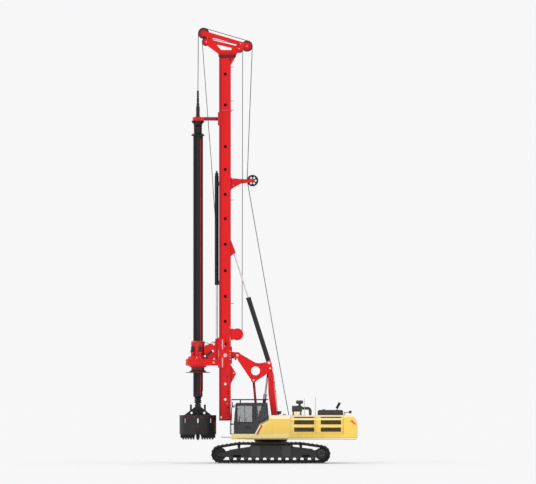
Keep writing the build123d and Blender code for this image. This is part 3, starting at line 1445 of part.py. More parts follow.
def main():
    os.makedirs("parts", exist_ok=True)
    write("carbody", carbody())
    write("slewing_ring", slewing_ring())
    loop = track_loop()
    frame = track_frame()
    wheels = [roller(roller_middle_x +
                     (i - (roller_count - 1) / 2) * roller_pitch) for i in range(roller_count)]
    wheels += [idler_wheel(), sprocket_wheel()]
    wheels += [carrier_roller(x, frame) for x in carrier_places_x]
    for side, name in ((1, "left"), (-1, "right")):
        def placed(shape, side=side):
            moved = Pos(0, track_y, 0) * shape
            return moved if side == 1 else mirrored(moved)
        write(f"track_{name}", placed(loop))
        write(f"track_frame_{name}", placed(frame))
        write(f"track_wheels_{name}", [placed(wheel) for wheel in wheels])
    write("upper_frame", upper_frame())
    write("hood", hood())
    for title, x_range, grille_x, at_front in (("front", front_door_x, front_grille_x, True),
                                               ("rear", rear_door_x, rear_grille_x, False)):
        door = louvre_door(x_range, grille_x, at_front)
        write(f"engine_door_left_{title}", door)
        write(f"engine_door_right_{title}", mirrored(door))
    write("engine", engine_block())
    write("counterweight", counterweight())
    write("exhaust_box", exhaust_box())
    write("air_cleaner", air_cleaner())
    write("lamps", lamps())
    write("side_tank", side_tank())
    write("cab_shell", cab_shell())
    write("cab_door", cab_door())
    write("cab_door_glass", door_glass())
    write("cab_glass", cab_glass())
    write("cab_interior", cab_interior())
    write("cab_guard", cab_guard())
    write("main_winch_drum", main_winch_drum())
    write("boom", boom())
    rod = support_rod()
    write("support_rods", [rod, mirrored(rod)])
    write("triangle", triangle())
    write("crosshead", crosshead())
    barrels, rods = lift_cylinders()
    write("lift_cylinder_barrels", barrels)
    write("lift_cylinder_rods", rods)
    write("tilt_cylinder_yokes", tilt_cylinder_yokes())
    barrel, rod = tilt_cylinder()
    place = axis_plane(cylinder_seat, tilt_top)
    for y, name in ((tilt_y, "left"), (-tilt_y, "right")):
        write(f"tilt_cylinder_barrel_{name}", Pos(0, y, 0) * (place * barrel))
        write(f"tilt_cylinder_rod_{name}", Pos(0, y, 0) * (place * rod))
    write("mast", mast())
    write("mast_head_section", mast_head_section())
    write("pulley_frame", pulley_frame())
    write("main_sheave_front", sheave(main_front, main_sheave_radius, main_sheave_width))
    write("main_sheave_rear", sheave(main_rear, main_sheave_radius, main_sheave_width))
    write("aux_sheave_front", sheave(aux_front, aux_sheave_radius, aux_sheave_width, aux_rope_y))
    write("aux_sheave_rear", sheave(aux_rear, aux_sheave_radius, aux_sheave_width, aux_rope_y))
    write("guide_sheave", sheave(guide_centre, guide_radius, main_sheave_width))
    write("aux_winch_drum", aux_winch_drum_solid())
    write("crowd_cylinder_barrel", crowd_barrel())
    write("crowd_cylinder_rod", crowd_rod())
    write("carriage", carriage())
    write("rotary_drive", rotary_drive())
    write("drive_motors", drive_motors())
    write("kelly_sleeve", kelly_sleeve())
    write("kelly_outer", kelly_outer())
    write("kelly_middle", kelly_middle())
    write("kelly_inner", kelly_inner())
    write("swivel", swivel())
    write("follower_frame", follower_frame())
    write("bucket", bucket())
    write("bucket_gate", bucket_gate())


main()
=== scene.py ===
import bpy
import numpy as np
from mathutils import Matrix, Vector


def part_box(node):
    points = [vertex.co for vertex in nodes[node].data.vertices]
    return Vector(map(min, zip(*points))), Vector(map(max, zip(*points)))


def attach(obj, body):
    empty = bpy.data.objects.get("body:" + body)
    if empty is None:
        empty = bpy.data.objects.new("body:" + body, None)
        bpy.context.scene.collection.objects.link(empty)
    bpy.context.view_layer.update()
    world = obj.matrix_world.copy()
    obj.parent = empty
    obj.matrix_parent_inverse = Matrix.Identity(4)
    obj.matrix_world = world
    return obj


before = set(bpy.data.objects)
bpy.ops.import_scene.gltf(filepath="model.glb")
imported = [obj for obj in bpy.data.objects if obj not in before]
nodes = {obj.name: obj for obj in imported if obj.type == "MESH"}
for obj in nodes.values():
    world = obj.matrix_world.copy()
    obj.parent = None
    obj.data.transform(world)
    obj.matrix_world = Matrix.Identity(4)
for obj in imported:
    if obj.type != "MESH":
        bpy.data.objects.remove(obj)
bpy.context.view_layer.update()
house = "upper_structure"
sides = ((1, "left"), (-1, "right"))
print("frame loaded:", len(nodes), "nodes")

view = {
    "metresPerPixel": 0.05,
    "axisPixel": (270.7, 463.0),    # photo pixel of the slewing axis at the ground
    "imageSize": (536, 484),
    "distance": 1000.0,             # the views from other angles clip at about 1200 m
    "clipEnd": 4000.0,
    "sensor": 36.0,
}


# Shaders

def feed(tree, node, links):
    # each input takes another node's output, or a constant on its own socket
    for key, source in links.items():
        if hasattr(source, "is_output"):
            tree.links.new(source, node.inputs[key])
        else:
            node.inputs[key].default_value = source
    return node


def addNode(tree, kind, links, **values):
    node = tree.nodes.new(kind)
    for key, value in values.items():
        setattr(node, key, value)
    return feed(tree, node, links)


def newGroup(name, inputs, outputs):
    # each socket's kind is Color, Float or Vector
    group = bpy.data.node_groups.new(name, "ShaderNodeTree")
    for label, kind, value in inputs:
        socket = group.interface.new_socket(label, in_out="INPUT", socket_type="NodeSocket" + kind)
        socket.default_value = value
    for label, kind in outputs:
        group.interface.new_socket(label, in_out="OUTPUT", socket_type="NodeSocket" + kind)
    return group, group.nodes.new("NodeGroupInput").outputs, group.nodes.new("NodeGroupOutput")


def newMaterial(name):
    material = bpy.data.materials.new(name)
    material.use_nodes = True
    return material, material.node_tree, material.node_tree.nodes["Principled BSDF"]


def maths(tree, operation, *values):
    return addNode(tree, "ShaderNodeMath", dict(enumerate(values)), operation=operation).outputs[0]


def vectorMaths(tree, operation, *values):
    return addNode(tree, "ShaderNodeVectorMath", dict(enumerate(values)), operation=operation).outputs


def noise(tree, where, scale, detail):
    return addNode(tree, "ShaderNodeTexNoise", {"Vector": where, "Scale": scale, "Detail": detail}).outputs["Fac"]


def objectPoint(tree):
    return addNode(tree, "ShaderNodeTexCoord", {}).outputs["Object"]


def stretched(tree, where, scale):
    return addNode(tree, "ShaderNodeMapping", {"Vector": where, "Scale": scale}).outputs[0]


def separated(tree, where):
    return addNode(tree, "ShaderNodeSeparateXYZ", {0: where}).outputs


def mapRange(tree, *values):
    # the values are the input, its low and high end, and the two that these become
    return addNode(tree, "ShaderNodeMapRange", dict(enumerate(values))).outputs[0]


def mixColour(tree, factor, first, second, blend="MIX"):
    links = {0: factor, 6: first, 7: second}
    return addNode(tree, "ShaderNodeMix", links, data_type="RGBA", blend_type=blend).outputs[2]


ageOutputs = [("Colour", "Color"), ("Roughness", "Float"), ("Height", "Float")]


def buildPaintGroup():
    # paint: broad fading, rain streaks down the sides, dust that thins with height, fine orange peel
    tree, start, end = newGroup("paintAge", [
        ("Paint", "Color", (0.5, 0.5, 0.5, 1)), ("Dust", "Color", (0.42, 0.36, 0.28, 1)),
        ("Dust Height", "Float", 1.5), ("Dirt", "Float", 0.3), ("Gloss", "Float", 0.35)], ageOutputs)
    where = objectPoint(tree)
    broad, fine, peel = (noise(tree, where, *grain) for grain in ((1.3, 4.0), (38.0, 3.0), (240.0, 1.0)))
    streaks = noise(tree, stretched(tree, where, (9.0, 9.0, 0.5)), 1.6, 5.0)
    fading = mapRange(tree, broad, 0.3, 0.75, 0.0, 0.16)
    faded = mixColour(tree, fading, start["Paint"], (1, 1, 1, 1), "SOFT_LIGHT")
    streakMask = maths(tree, "MULTIPLY", mapRange(tree, streaks, 0.55, 0.75, 0.0, 0.3), start["Dirt"])
    streaked = mixColour(tree, streakMask, faded, (0.03, 0.025, 0.02, 1))
    low = maths(tree, "DIVIDE", separated(tree, where)["Z"], start["Dust Height"])
    patch = mapRange(tree, fine, 0.3, 0.75, 0.35, 1.0)
    dustMask = maths(tree, "MULTIPLY", mapRange(tree, low, 0.0, 1.0, 0.75, 0.0), patch)
    dustMask = maths(tree, "MULTIPLY", dustMask, start["Dirt"])
    dusty = mixColour(tree, dustMask, streaked, start["Dust"])
    rough = maths(tree, "ADD", mapRange(tree, broad, 0.3, 0.7, -0.06, 0.08), start["Gloss"])
    rough = maths(tree, "MULTIPLY_ADD", dustMask, 0.45, rough)
    feed(tree, end, {"Colour": dusty, "Roughness": rough, "Height": peel})
    return tree


def buildSteelGroup():
    # bare or blackened steel: mill mottling, brushed lines along the height, rust in patches
    tree, start, end = newGroup("steelAge", [
        ("Steel", "Color", (0.3, 0.3, 0.3, 1)), ("Rust", "Color", (0.16, 0.07, 0.03, 1)),
        ("Rust Amount", "Float", 0.2), ("Gloss", "Float", 0.4)], ageOutputs)
    where = objectPoint(tree)
    mottle = noise(tree, where, 6.0, 6.0)
    brush = noise(tree, stretched(tree, where, (90.0, 90.0, 4.0)), 2.0, 3.0)
    shading = mapRange(tree, mottle, 0.3, 0.7, 0.0, 0.35)
    tone = mixColour(tree, shading, start["Steel"], (0.5, 0.48, 0.45, 1), "MULTIPLY")
    rustMask = maths(tree, "MULTIPLY", mapRange(tree, mottle, 0.5, 0.68, 0.0, 1.0), start["Rust Amount"])
    rusty = mixColour(tree, rustMask, tone, start["Rust"])
    rough = maths(tree, "ADD", mapRange(tree, brush, 0.3, 0.7, -0.08, 0.1), start["Gloss"])
    rough = maths(tree, "MULTIPLY_ADD", rustMask, 0.4, rough)
    feed(tree, end, {"Colour": rusty, "Roughness": rough, "Height": mottle})
    return tree


def buildBoxGroup():
    # 1 inside a box given by two corners, 0 outside: the least of the six distances to its sides is above 0
    tree, start, end = newGroup("insideBox", [("Low", "Vector", (0, 0, 0)), ("High", "Vector", (1, 1, 1))],
                                [("Mask", "Float")])
    where = objectPoint(tree)
    least = None
    for pair in ((where, start["Low"]), (start["High"], where)):
        gap = separated(tree, vectorMaths(tree, "SUBTRACT", *pair)[0])
        for label in "XYZ":
            least = gap[label] if least is None else maths(tree, "MINIMUM", least, gap[label])
    feed(tree, end, {"Mask": maths(tree, "GREATER_THAN", least, 0.0)})
    return tree


def buildSpotGroup():
    # 1 on a round spot seen from the side, 0 elsewhere: the distance from its centre in x and z is under the
    # radius, and the point lies further out sideways than the depth
    tree, start, end = newGroup("roundSpot", [("Centre", "Vector", (0, 0, 0)), ("Radius", "Float", 0.05),
                                              ("Depth", "Float", 0.3)], [("Mask", "Float")])
    where = objectPoint(tree)
    gap = vectorMaths(tree, "SUBTRACT", where, start["Centre"])[0]
    flat = vectorMaths(tree, "MULTIPLY", gap, (1, 0, 1))[0]
    near = maths(tree, "LESS_THAN", vectorMaths(tree, "LENGTH", flat)["Value"], start["Radius"])
    past = maths(tree, "GREATER_THAN", maths(tree, "ABSOLUTE", separated(tree, where)["Y"]), start["Depth"])
    feed(tree, end, {"Mask": maths(tree, "MULTIPLY", near, past)})
    return tree


paintGroup, steelGroup = buildPaintGroup(), buildSteelGroup()
boxGroup, spotGroup = buildBoxGroup(), buildSpotGroup()
bumpSize = 0.002


def finish(name, group, values, metallic, coat, bump, specular):
    # one Principled shader fed by an ageing group
    material, tree, shader = newMaterial(name)
    age = addNode(tree, "ShaderNodeGroup", values, node_tree=group).outputs
    relief = addNode(tree, "ShaderNodeBump", {"Strength": bump, "Distance": bumpSize, "Height": age["Height"]})
    feed(tree, shader, {"Base Color": age["Colour"], "Roughness": age["Roughness"], "Normal": relief.outputs[0],
                        "Metallic": metallic, "Coat Weight": coat, "Specular IOR Level": specular})
    return material


def paint(name, colour, gloss=0.32, dirt=0.3, dustHeight=1.6, coat=0.15, specular=0.4):
    values = {"Paint": (*colour, 1), "Gloss": gloss, "Dirt": dirt, "Dust Height": dustHeight}
    return finish(name, paintGroup, values, 0.0, coat, 0.15, specular)


def steel(name, colour, gloss=0.4, rust=0.1, metallic=0.9, bump=0.25, specular=0.5):
    values = {"Steel": (*colour, 1), "Gloss": gloss, "Rust Amount": rust}
    return finish(name, steelGroup, values, metallic, 0.0, bump, specular)


def patched(material, boxes, spots=()):
    # the colour, an ageing group's first input, changes inside boxes and on round spots; the ageing is laid over it
    tree = material.node_tree
    age = next(node for node in tree.nodes if node.type == "GROUP")
    colour = tuple(age.inputs[0].default_value)
    masks = [(boxGroup, {"Low": low, "High": high}, tone) for low, high, tone in boxes]
    masks += [(spotGroup, {"Centre": (x, 0, z), "Radius": radius, "Depth": depth}, tone)
              for x, z, radius, depth, tone in spots]
    for group, values, tone in masks:
        mask = addNode(tree, "ShaderNodeGroup", values, node_tree=group).outputs[0]
        colour = mixColour(tree, mask, colour, (*tone, 1))
    feed(tree, age, {0: colour})
    return material


def buildGlass(name, tint, strength):
    # tinted glass with a film of dust that dulls it in places
    material, tree, shader = newMaterial(name)
    film = noise(tree, objectPoint(tree), 2.0, 4.0)
    dull = tuple(0.7 * c for c in tint)
    shade = mixColour(tree, mapRange(tree, film, 0.3, 0.7, 0.0, 0.3), (*tint, 1), (*dull, 1))
    feed(tree, shader, {"Base Color": shade, "Roughness": mapRange(tree, film, 0.3, 0.7, 0.02, 0.09),
                        "Transmission Weight": 0.6, "Alpha": strength, "IOR": 1.45})
    return material


# Paints and steels. Bands and spots of other tones are boxes and discs in the frame, in metres

far = 9.0
# crimson is a shaded copy of the red: painted shade on the mast's edge strips and the carriage's front
redTone, edgeShadeRedTone, yellowTone = (0.72, 0.003, 0.005), (0.50, 0.005, 0.018), (0.95, 0.63, 0.11)
darkTone, capTone, padTone = (0.020, 0.020, 0.022), (0.86, 0.52, 0.52), (0.036, 0.036, 0.038)
# pale and cream are lit copies of the yellow, painted highlights; shade is painted shade
paleHighlightTone, creamHighlightTone, shadeTone = (1.0, 0.83, 0.40), (1.0, 0.90, 0.62), (0.52, 0.38, 0.07)
# the grille tone darkens the doors' recessed louvres: painted shade
grilleShadeTone, shadowRed = (0.045, 0.035, 0.030), (0.03, 0.006, 0.006)
redCoat = {"coat": 0.05, "specular": 0.25}
blackCoat = {"gloss": 0.45, "dirt": 0.08, "dustHeight": 1.2, "coat": 0.05, "specular": 0.3}
capDepth = 0.3853                   # how far out the pins' caps begin
grille = {"rows": ((1.575, 1.790), (1.940, 2.155), (2.262, 2.325)), "spans": ((-2.175, -1.170), (-3.515, -2.500)),
          "y": 1.483, "half": 0.0147}


def box(tone, x=(-far, far), y=(-far, far), z=(-far, far)):
    return (x[0], y[0], z[0]), (x[1], y[1], z[1]), tone


def onSides(tone, x=(-far, far), z=(-far, far), out=1.42):
    # the same band of colour on both outer sides
    return [box(tone, x, (out, far), z), box(tone, x, (-far, -out), z)]


redPaint = paint("redPaint", redTone, **redCoat)
yellowPaint = paint("yellowPaint", yellowTone, dirt=0.2)
cabPaint = paint("cabPaint", (0.030, 0.030, 0.033), gloss=0.38, dirt=0.2)
blackPaint = paint("blackPaint", (0.012, 0.012, 0.013), **blackCoat)
greyPaint = paint("greyPaint", (0.30, 0.31, 0.32), gloss=0.4)
whitePaint = paint("whitePaint", (0.82, 0.82, 0.80), dirt=0.15)
lampRed = paint("lampRed", (0.75, 0.08, 0.02), gloss=0.2, dirt=0.1, coat=0.6)
creamPaint = paint("creamPaint", (1.0, 0.88, 0.58), dirt=0.15)
shadePaint = paint("shadePaint", (0.50, 0.34, 0.06), dirt=0.15)
reflectorRed = paint("reflectorRed", (0.95, 0.10, 0.015), gloss=0.15, dirt=0.05, coat=0.8)
stripeRed = paint("stripeRed", (0.45, 0.02, 0.01), gloss=0.3, dirt=0.05)
rimBoltPaint = paint("rimBoltPaint", (0.22, 0.06, 0.07), dirt=0.1)
# near-black plates that stand for the track frames' slots: painted shade
slotShadePaint = paint("slotShadePaint", (0.003, 0.003, 0.003), gloss=0.6, dirt=0.0, coat=0.0, specular=0.1)
# a darker red, a shaded copy of the red paint: painted shade on the front main sheave's disc, the carriage's recesses
# and bolts, and marks on the mast
shadeRedPaint = paint("shadeRedPaint", (0.40, 0.006, 0.022), **redCoat)
# a near-black red: painted shade in recesses, on the drain plugs and a spot on the mast
recessShadePaint = paint("recessShadePaint", (0.09, 0.004, 0.006), coat=0.0, specular=0.2)
# a pale pink, a lit copy of the red: painted highlight on red bolts, pin ends, dots and thin strips
highlightPinkPaint = paint("highlightPinkPaint", (0.95, 0.42, 0.44), dirt=0.1)
trackSteel = steel("trackSteel", (0.018, 0.0175, 0.018), gloss=0.5, rust=0.05, metallic=0.2, specular=0.3)
castSteel = steel("castSteel", (0.030, 0.030, 0.032), gloss=0.45, rust=0.03, metallic=0.3, specular=0.35)
kellySteel = steel("kellySteel", (0.035, 0.036, 0.040), gloss=0.36, rust=0.02, metallic=0.75, bump=0.12)
brightSteel = steel("brightSteel", (0.50, 0.50, 0.51), gloss=0.28, rust=0.03, metallic=1.0, bump=0.1)
chrome = steel("chromeRod", (0.78, 0.79, 0.80), gloss=0.12, rust=0.0, metallic=1.0, bump=0.02)
rubber = steel("rubber", (0.020, 0.020, 0.021), gloss=0.7, rust=0.0, metallic=0.0, bump=0.1)
wireRope = steel("wireRope", (0.10, 0.10, 0.105), gloss=0.45, rust=0.08, metallic=0.85, bump=0.5)
trimPlastic = steel("trimPlastic", (0.028, 0.028, 0.030), gloss=0.6, rust=0.0, metallic=0.0, bump=0.2)

# how far sideways the tones reach on the mast, the carriage and the lift cylinders
mastSpan, carriageSpan, liftSpan = (-0.5, 0.5), (-0.6, 0.6), (-1.0, 1.0)
# darker red strips down the front and rear edges of the mast, head and follower: painted shade
mastShadeStrips = [box(edgeShadeRedTone, x, mastSpan, (2.0, 20.3)) for x in ((2.455, 2.60), (1.97, 2.03))]
mastPaint = patched(paint("mastPaint", redTone, **redCoat),
                    mastShadeStrips + [box((0.10, 0.004, 0.006), (1.9, 2.45), mastSpan, (2.0, 2.17))])
# a dark red band at the head's joint, z 20.24 to 20.42: the flange's painted shadow
headPaint = patched(paint("headPaint", redTone, **redCoat),
                    mastShadeStrips + [box((0.15, 0.006, 0.012), (1.0, 2.7), mastSpan, (20.24, 20.42))])
# the follower's arm darker between x 2.62 and 3.33: painted shade; the dark spot at its pin is a painted shadow
followerPaint = patched(paint("followerPaint", redTone, **redCoat),
                        mastShadeStrips + [box((0.26, 0.006, 0.014), (2.62, 3.33), mastSpan, (17.0, 17.5))],
                        [(2.710, 17.190, 0.045, 0.0, shadowRed)])
linkPaint = patched(paint("linkPaint", redTone, **redCoat), [],
                    [(1.660, 5.390, 0.060, capDepth, capTone), (0.025, 4.740, 0.050, capDepth, capTone)])
# the carriage's front, x 2.635 to 2.77, in the darker red: painted shade
carriagePaint = patched(paint("carriagePaint", redTone, **redCoat),
                        [box(edgeShadeRedTone, (2.635, 2.77), carriageSpan, (4.7, 6.3))])
rodPaint = patched(paint("rodPaint", (0.34, 0.006, 0.012), **redCoat),
                   [box(shadowRed, (0.80, 1.0), carriageSpan, (3.74, 4.06))],
                   [(0.855, 4.145, 0.050, capDepth, capTone)])
yokePaint = patched(paint("yokePaint", (0.02, 0.02, 0.021), gloss=0.42), [],
                    [(0.085, 5.015, 0.085, capDepth, capTone)])
# the rods darken from z 4.28 up: partly their dark rod eyes, partly painted shade
liftRodSteel = patched(steel("liftRodSteel", (0.42, 0.42, 0.43), gloss=0.25, rust=0.0, metallic=0.9, bump=0.02),
                       [box((0.03, 0.03, 0.032), liftSpan, liftSpan, (4.28, 4.9))])
liftBarrelPaint = patched(paint("liftBarrelPaint", darkTone, gloss=0.38, dirt=0.1),
                          [box((0.30, 0.30, 0.31), liftSpan, liftSpan, (3.22, 4.9))])
# pale, light orange and cream bands across the doors: painted highlights; the grille boxes on the recessed louvres:
# painted shade
doorPaint = patched(paint("doorPaint", yellowTone, dirt=0.2),
                    onSides(paleHighlightTone, z=(2.170, 2.250)) + onSides((1.0, 0.70, 0.19), z=(1.800, 1.925))
                    + onSides(creamHighlightTone, z=(2.335, 2.5))
                    + [box(grilleShadeTone, x, (side * grille["y"] - grille["half"], side * grille["y"] + grille["half"]), z)
                       for z in grille["rows"] for x in grille["spans"] for side in (1, -1)])
# cream bands high on the hood's sides, a pale band by the front seam and a pale top edge: painted highlights
hoodPaint = patched(paint("hoodPaint", yellowTone, dirt=0.2),
                    onSides(creamHighlightTone, z=(2.220, 2.41), out=1.46)
                    + onSides(paleHighlightTone, (-1.16, -0.995), (1.48, 2.41), 1.46) + [box(paleHighlightTone, z=(2.385, 2.41))])
# on the counterweight the cream strip low down and the pale top are painted highlights; the thin line and the bottom
# edge in the shade tone are painted shade
weightPaint = patched(paint("weightPaint", (0.96, 0.66, 0.10), dirt=0.2),
                      [box(creamHighlightTone, z=(1.0, 1.262)), box(shadeTone, z=(1.262, 1.290)),
                       box(shadeTone, z=(1.0, 1.215)), box(paleHighlightTone, z=(2.300, 2.6))])
deckFront, deckRear = (-0.90, far), (-far, -0.90)
# the yellow band over the dark frame is the deck's own paint; the lighter yellow and pale bands and the cream rear
# strip are painted highlights, the olive front strip and the shade tone at the rear painted shade
deckPaint = patched(paint("deckPaint", darkTone, gloss=0.45, dirt=0.35, dustHeight=1.2, coat=0.1),
                    onSides(yellowTone, z=(1.0, 1.475)) + [box(yellowTone, x=(1.93, far), z=(1.0, 1.475))]
                    + onSides((0.93, 0.78, 0.28), deckFront, (1.350, 1.475))
                    + onSides(paleHighlightTone, deckFront, (1.430, 1.475))
                    + onSides((1.0, 0.78, 0.38), deckFront, (1.285, 1.345))
                    + onSides((0.52, 0.40, 0.13), (-0.90, 1.66), (1.0, 1.262))
                    + onSides(shadeTone, deckRear, (1.262, 1.290)) + onSides(creamHighlightTone, deckRear, (1.0, 1.262))
                    + onSides(shadeTone, deckRear, (1.0, 1.215)))
# the kelly tube darker at x above 3.72: painted shade; the red and dark red strips on its rear: a painted reflection of
# the mast
tubePaint = patched(steel("tubePaint", (0.022, 0.018, 0.017), gloss=0.36, rust=0.01, metallic=0.2, bump=0.12,
                          specular=0.25),
                    [box((0.006, 0.005, 0.008), x=(3.72, far), z=(3.0, 17.2)),
                     box((0.42, 0.035, 0.035), (3.485, 3.522), (-0.16, 0.30), (3.40, 16.2)),
                     box((0.075, 0.002, 0.004), (3.30, 3.485), (-0.16, 0.30), (3.40, 16.2))])
sleevePaint = patched(paint("sleevePaint", (0.10, 0.022, 0.020), gloss=0.5, dirt=0.5), [box(redTone, z=(4.79, 6.2))])
motorPaint = patched(paint("motorPaint", (0.014, 0.015, 0.017), gloss=0.4, dirt=0.1, specular=0.3),
                     [box(redTone, z=(5.0, 5.55))])
framePaint = patched(paint("framePaint", (0.014, 0.014, 0.015), **blackCoat),
                     onSides(padTone, (0.52, 1.02), (0.36, 0.95)) + onSides(padTone, (-0.99, -0.56), (0.36, 0.95)))
toolSteel = patched(steel("toolSteel", (0.022, 0.021, 0.022), gloss=0.5, rust=0.05, metallic=0.3, specular=0.4),
                    [box((0.045, 0.014, 0.014), z=(2.310, 2.400))])
cabGlass = buildGlass("cabGlass", (0.20, 0.21, 0.215), 0.36)
lampGlass = buildGlass("lampGlass", (0.85, 0.86, 0.88), 0.9)

nodeFinish = {
    redPaint: ["rotary_drive", "triangle", "aux_winch_drum", "main_winch_drum"],
    carriagePaint: ["carriage"],
    mastPaint: ["mast"],
    headPaint: ["mast_head_section", "pulley_frame"],
    followerPaint: ["follower_frame"],
    linkPaint: ["boom", "crosshead"],
    rodPaint: ["support_rods"],
    yokePaint: ["tilt_cylinder_yokes"],
    yellowPaint: ["side_tank"],
    hoodPaint: ["hood"],
    weightPaint: ["counterweight"],
    doorPaint: [f"engine_door_{name}_{end}" for _, name in sides for end in ("front", "rear")],
    deckPaint: ["upper_frame"],
    sleevePaint: ["kelly_sleeve"],
    cabPaint: ["cab_shell", "cab_door", "exhaust_box", "air_cleaner"],
    blackPaint: ["carbody", "swivel", "slewing_ring", "cab_guard", "lamps", "crowd_cylinder_barrel",
                 "tilt_cylinder_barrel_left", "tilt_cylinder_barrel_right"],
    liftBarrelPaint: ["lift_cylinder_barrels"],
    framePaint: ["track_frame_left", "track_frame_right"],
    trackSteel: ["track_left", "track_right"],
    castSteel: ["track_wheels_left", "track_wheels_right", "engine", "main_sheave_front", "main_sheave_rear",
                "aux_sheave_front", "aux_sheave_rear", "guide_sheave"],
    motorPaint: ["drive_motors"],
    tubePaint: ["kelly_outer"],
    kellySteel: ["kelly_middle", "kelly_inner"],
    toolSteel: ["bucket", "bucket_gate"],
    liftRodSteel: ["lift_cylinder_rods"],
    chrome: ["tilt_cylinder_rod_left", "tilt_cylinder_rod_right", "crowd_cylinder_rod"],
    cabGlass: ["cab_glass", "cab_door_glass"],
    trimPlastic: ["cab_interior"],
}
for material, names in nodeFinish.items():
    for name in names:
        mesh = nodes[name].data
        mesh.materials.clear()
        mesh.materials.append(material)
print("materials on", sum(len(names) for names in nodeFinish.values()), "nodes")


# Surfaces

def inSpace(first, second, third, axis):
    # points from two coordinates and, along the given axis, a third one
    parts = [first, second]
    parts.insert(axis, third)
    return np.stack(np.broadcast_arrays(*parts), -1)


def rectangle(lowA, highA, lowB, highB):
    # four corners in turn
    return [(lowA, lowB), (highA, lowB), (highA, highB), (lowA, highB)]


def linked(name, data):
    thing = bpy.data.objects.new(name, data)
    bpy.context.scene.collection.objects.link(thing)
    return thing


def meshFrom(name, points, faces, material, smooth=True):
    # points, and faces as rows of point numbers, put into a mesh's flat arrays
    mesh = bpy.data.meshes.new(name)
    points = np.asarray(points, dtype=np.float64).reshape(-1, 3)
    loops = np.concatenate([np.asarray(face, dtype=np.int32) for face in faces])
    sizes = np.array([len(face) for face in faces], dtype=np.int32)
    mesh.vertices.add(len(points))
    mesh.vertices.foreach_set("co", points.ravel())
    mesh.loops.add(len(loops))
    mesh.loops.foreach_set("vertex_index", loops)
    mesh.polygons.add(len(sizes))
    mesh.polygons.foreach_set("loop_start", np.concatenate([[0], np.cumsum(sizes)[:-1]]).astype(np.int32))
    mesh.polygons.foreach_set("loop_total", sizes)
    mesh.polygons.foreach_set("use_smooth", np.full(len(sizes), smooth))
    mesh.update(calc_edges=True)
    mesh.validate()
    mesh.materials.append(material)
    return linked(name, mesh)


def fitted(name, body, points, faces, material, smooth=True):
    # a closed mesh that rides on a body, its faces outward: the sum over its triangles of a . (b x c), six
    # times its volume, is below 0 when they point inward
    piece = meshFrom(name, points, faces, material, smooth)
    mesh = piece.data
    mesh.calc_loop_triangles()
    places = np.empty(len(mesh.vertices) * 3)
    mesh.vertices.foreach_get("co", places)
    corners = np.empty(len(mesh.loop_triangles) * 3, dtype=np.int32)
    mesh.loop_triangles.foreach_get("vertices", corners)
    a, b, c = (places.reshape(-1, 3)[corners[i::3]] for i in range(3))
    if np.einsum("ij,ij->i", a, np.cross(b, c)).sum() < 0:
        mesh.flip_normals()
    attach(piece, body)


def gridFaces(rows, columns, closeRows=False, closeColumns=True, caps=False):
    # quads between neighbouring rows and columns of a grid of points, with end caps as one face each
    r, c = np.meshgrid(np.arange(rows if closeRows else rows - 1),
                       np.arange(columns if closeColumns else columns - 1), indexing="ij")
    r2, c2 = (r + 1) % rows, (c + 1) % columns
    quads = np.stack([r * columns + c, r * columns + c2, r2 * columns + c2, r2 * columns + c], -1)
    faces = list(quads.reshape(-1, 4))
    if caps:
        faces += [np.arange(columns)[::-1], (rows - 1) * columns + np.arange(columns)]
    return faces


def carried(path, ring, closed=False):
    # a ring of (side, up) offsets carried along a path: side is the tangent x a fixed helper, up is side x tangent
    path = np.asarray(path, float)
    tangent = np.roll(path, -1, 0) - np.roll(path, 1, 0) if closed else np.gradient(path, axis=0)
    tangent /= np.linalg.norm(tangent, axis=1)[:, None]
    helper = np.array([0.0, 1.0, 0.0])
    if abs(tangent[0] @ helper) > 0.9:
        helper = np.array([1.0, 0.0, 0.0])
    side = np.cross(tangent, helper)
    side /= np.linalg.norm(side, axis=1)[:, None]
    up = np.cross(side, tangent)
    ring = np.asarray(ring, float)
    return path[:, None, :] + ring[None, :, 0, None] * side[:, None, :] + ring[None, :, 1, None] * up[:, None, :]


def circleRing(radius, sides):
    # a circle as (side, up) offsets: the radius times the cosine and the sine of each turn
    turn = np.linspace(0, 2 * np.pi, sides, endpoint=False)
    return np.stack([radius * np.cos(turn), radius * np.sin(turn)], 1)


def tube(name, body, path, radius, material, sides=12, closed=False):
    # a circle carried along a path, capped unless the path closes
    faces = gridFaces(len(path), sides, closeRows=closed, caps=not closed)
    fitted(name, body, carried(path, circleRing(radius, sides), closed), faces, material)


def boltHead(radius, height):
    # hexagon head on a washer, standing on z = 0, as rings of points
    six = np.linspace(0, 2 * np.pi, 6, endpoint=False)
    reach = radius * np.array([1.45, 1.45, 1.0, 1.0, 0.82])[:, None]
    rise = height * np.array([0.0, 0.18, 0.18, 0.9, 1.0])[:, None]
    return inSpace(reach * np.cos(six), reach * np.sin(six), rise, 2), gridFaces(5, 6, caps=True)


def placeOn(points, spot, normal):
    # turn a shape that stands on z = 0 to stand on a spot with a given normal
    normal = np.asarray(normal, float) / np.linalg.norm(normal)
    helper = np.array([0.0, 0.0, 1.0]) if abs(normal[2]) < 0.9 else np.array([1.0, 0.0, 0.0])
    side = np.cross(helper, normal)
    side /= np.linalg.norm(side)
    up = np.cross(normal, side)
    return np.asarray(points).reshape(-1, 3) @ np.stack([side, up, normal]) + np.asarray(spot)


def bolts(name, body, spots, normal, radius, material, height=1.1):
    # one mesh of bolt heads, one on each spot; the height is in radii
    points, faces = boltHead(radius, radius * height)
    heads = [placeOn(points, spot, out) for spot, out in zip(spots, np.broadcast_to(normal, (len(spots), 3)))]
    rows = [face + i * len(heads[0]) for i in range(len(heads)) for face in faces]
    fitted(name, body, np.concatenate(heads), rows, material, smooth=False)


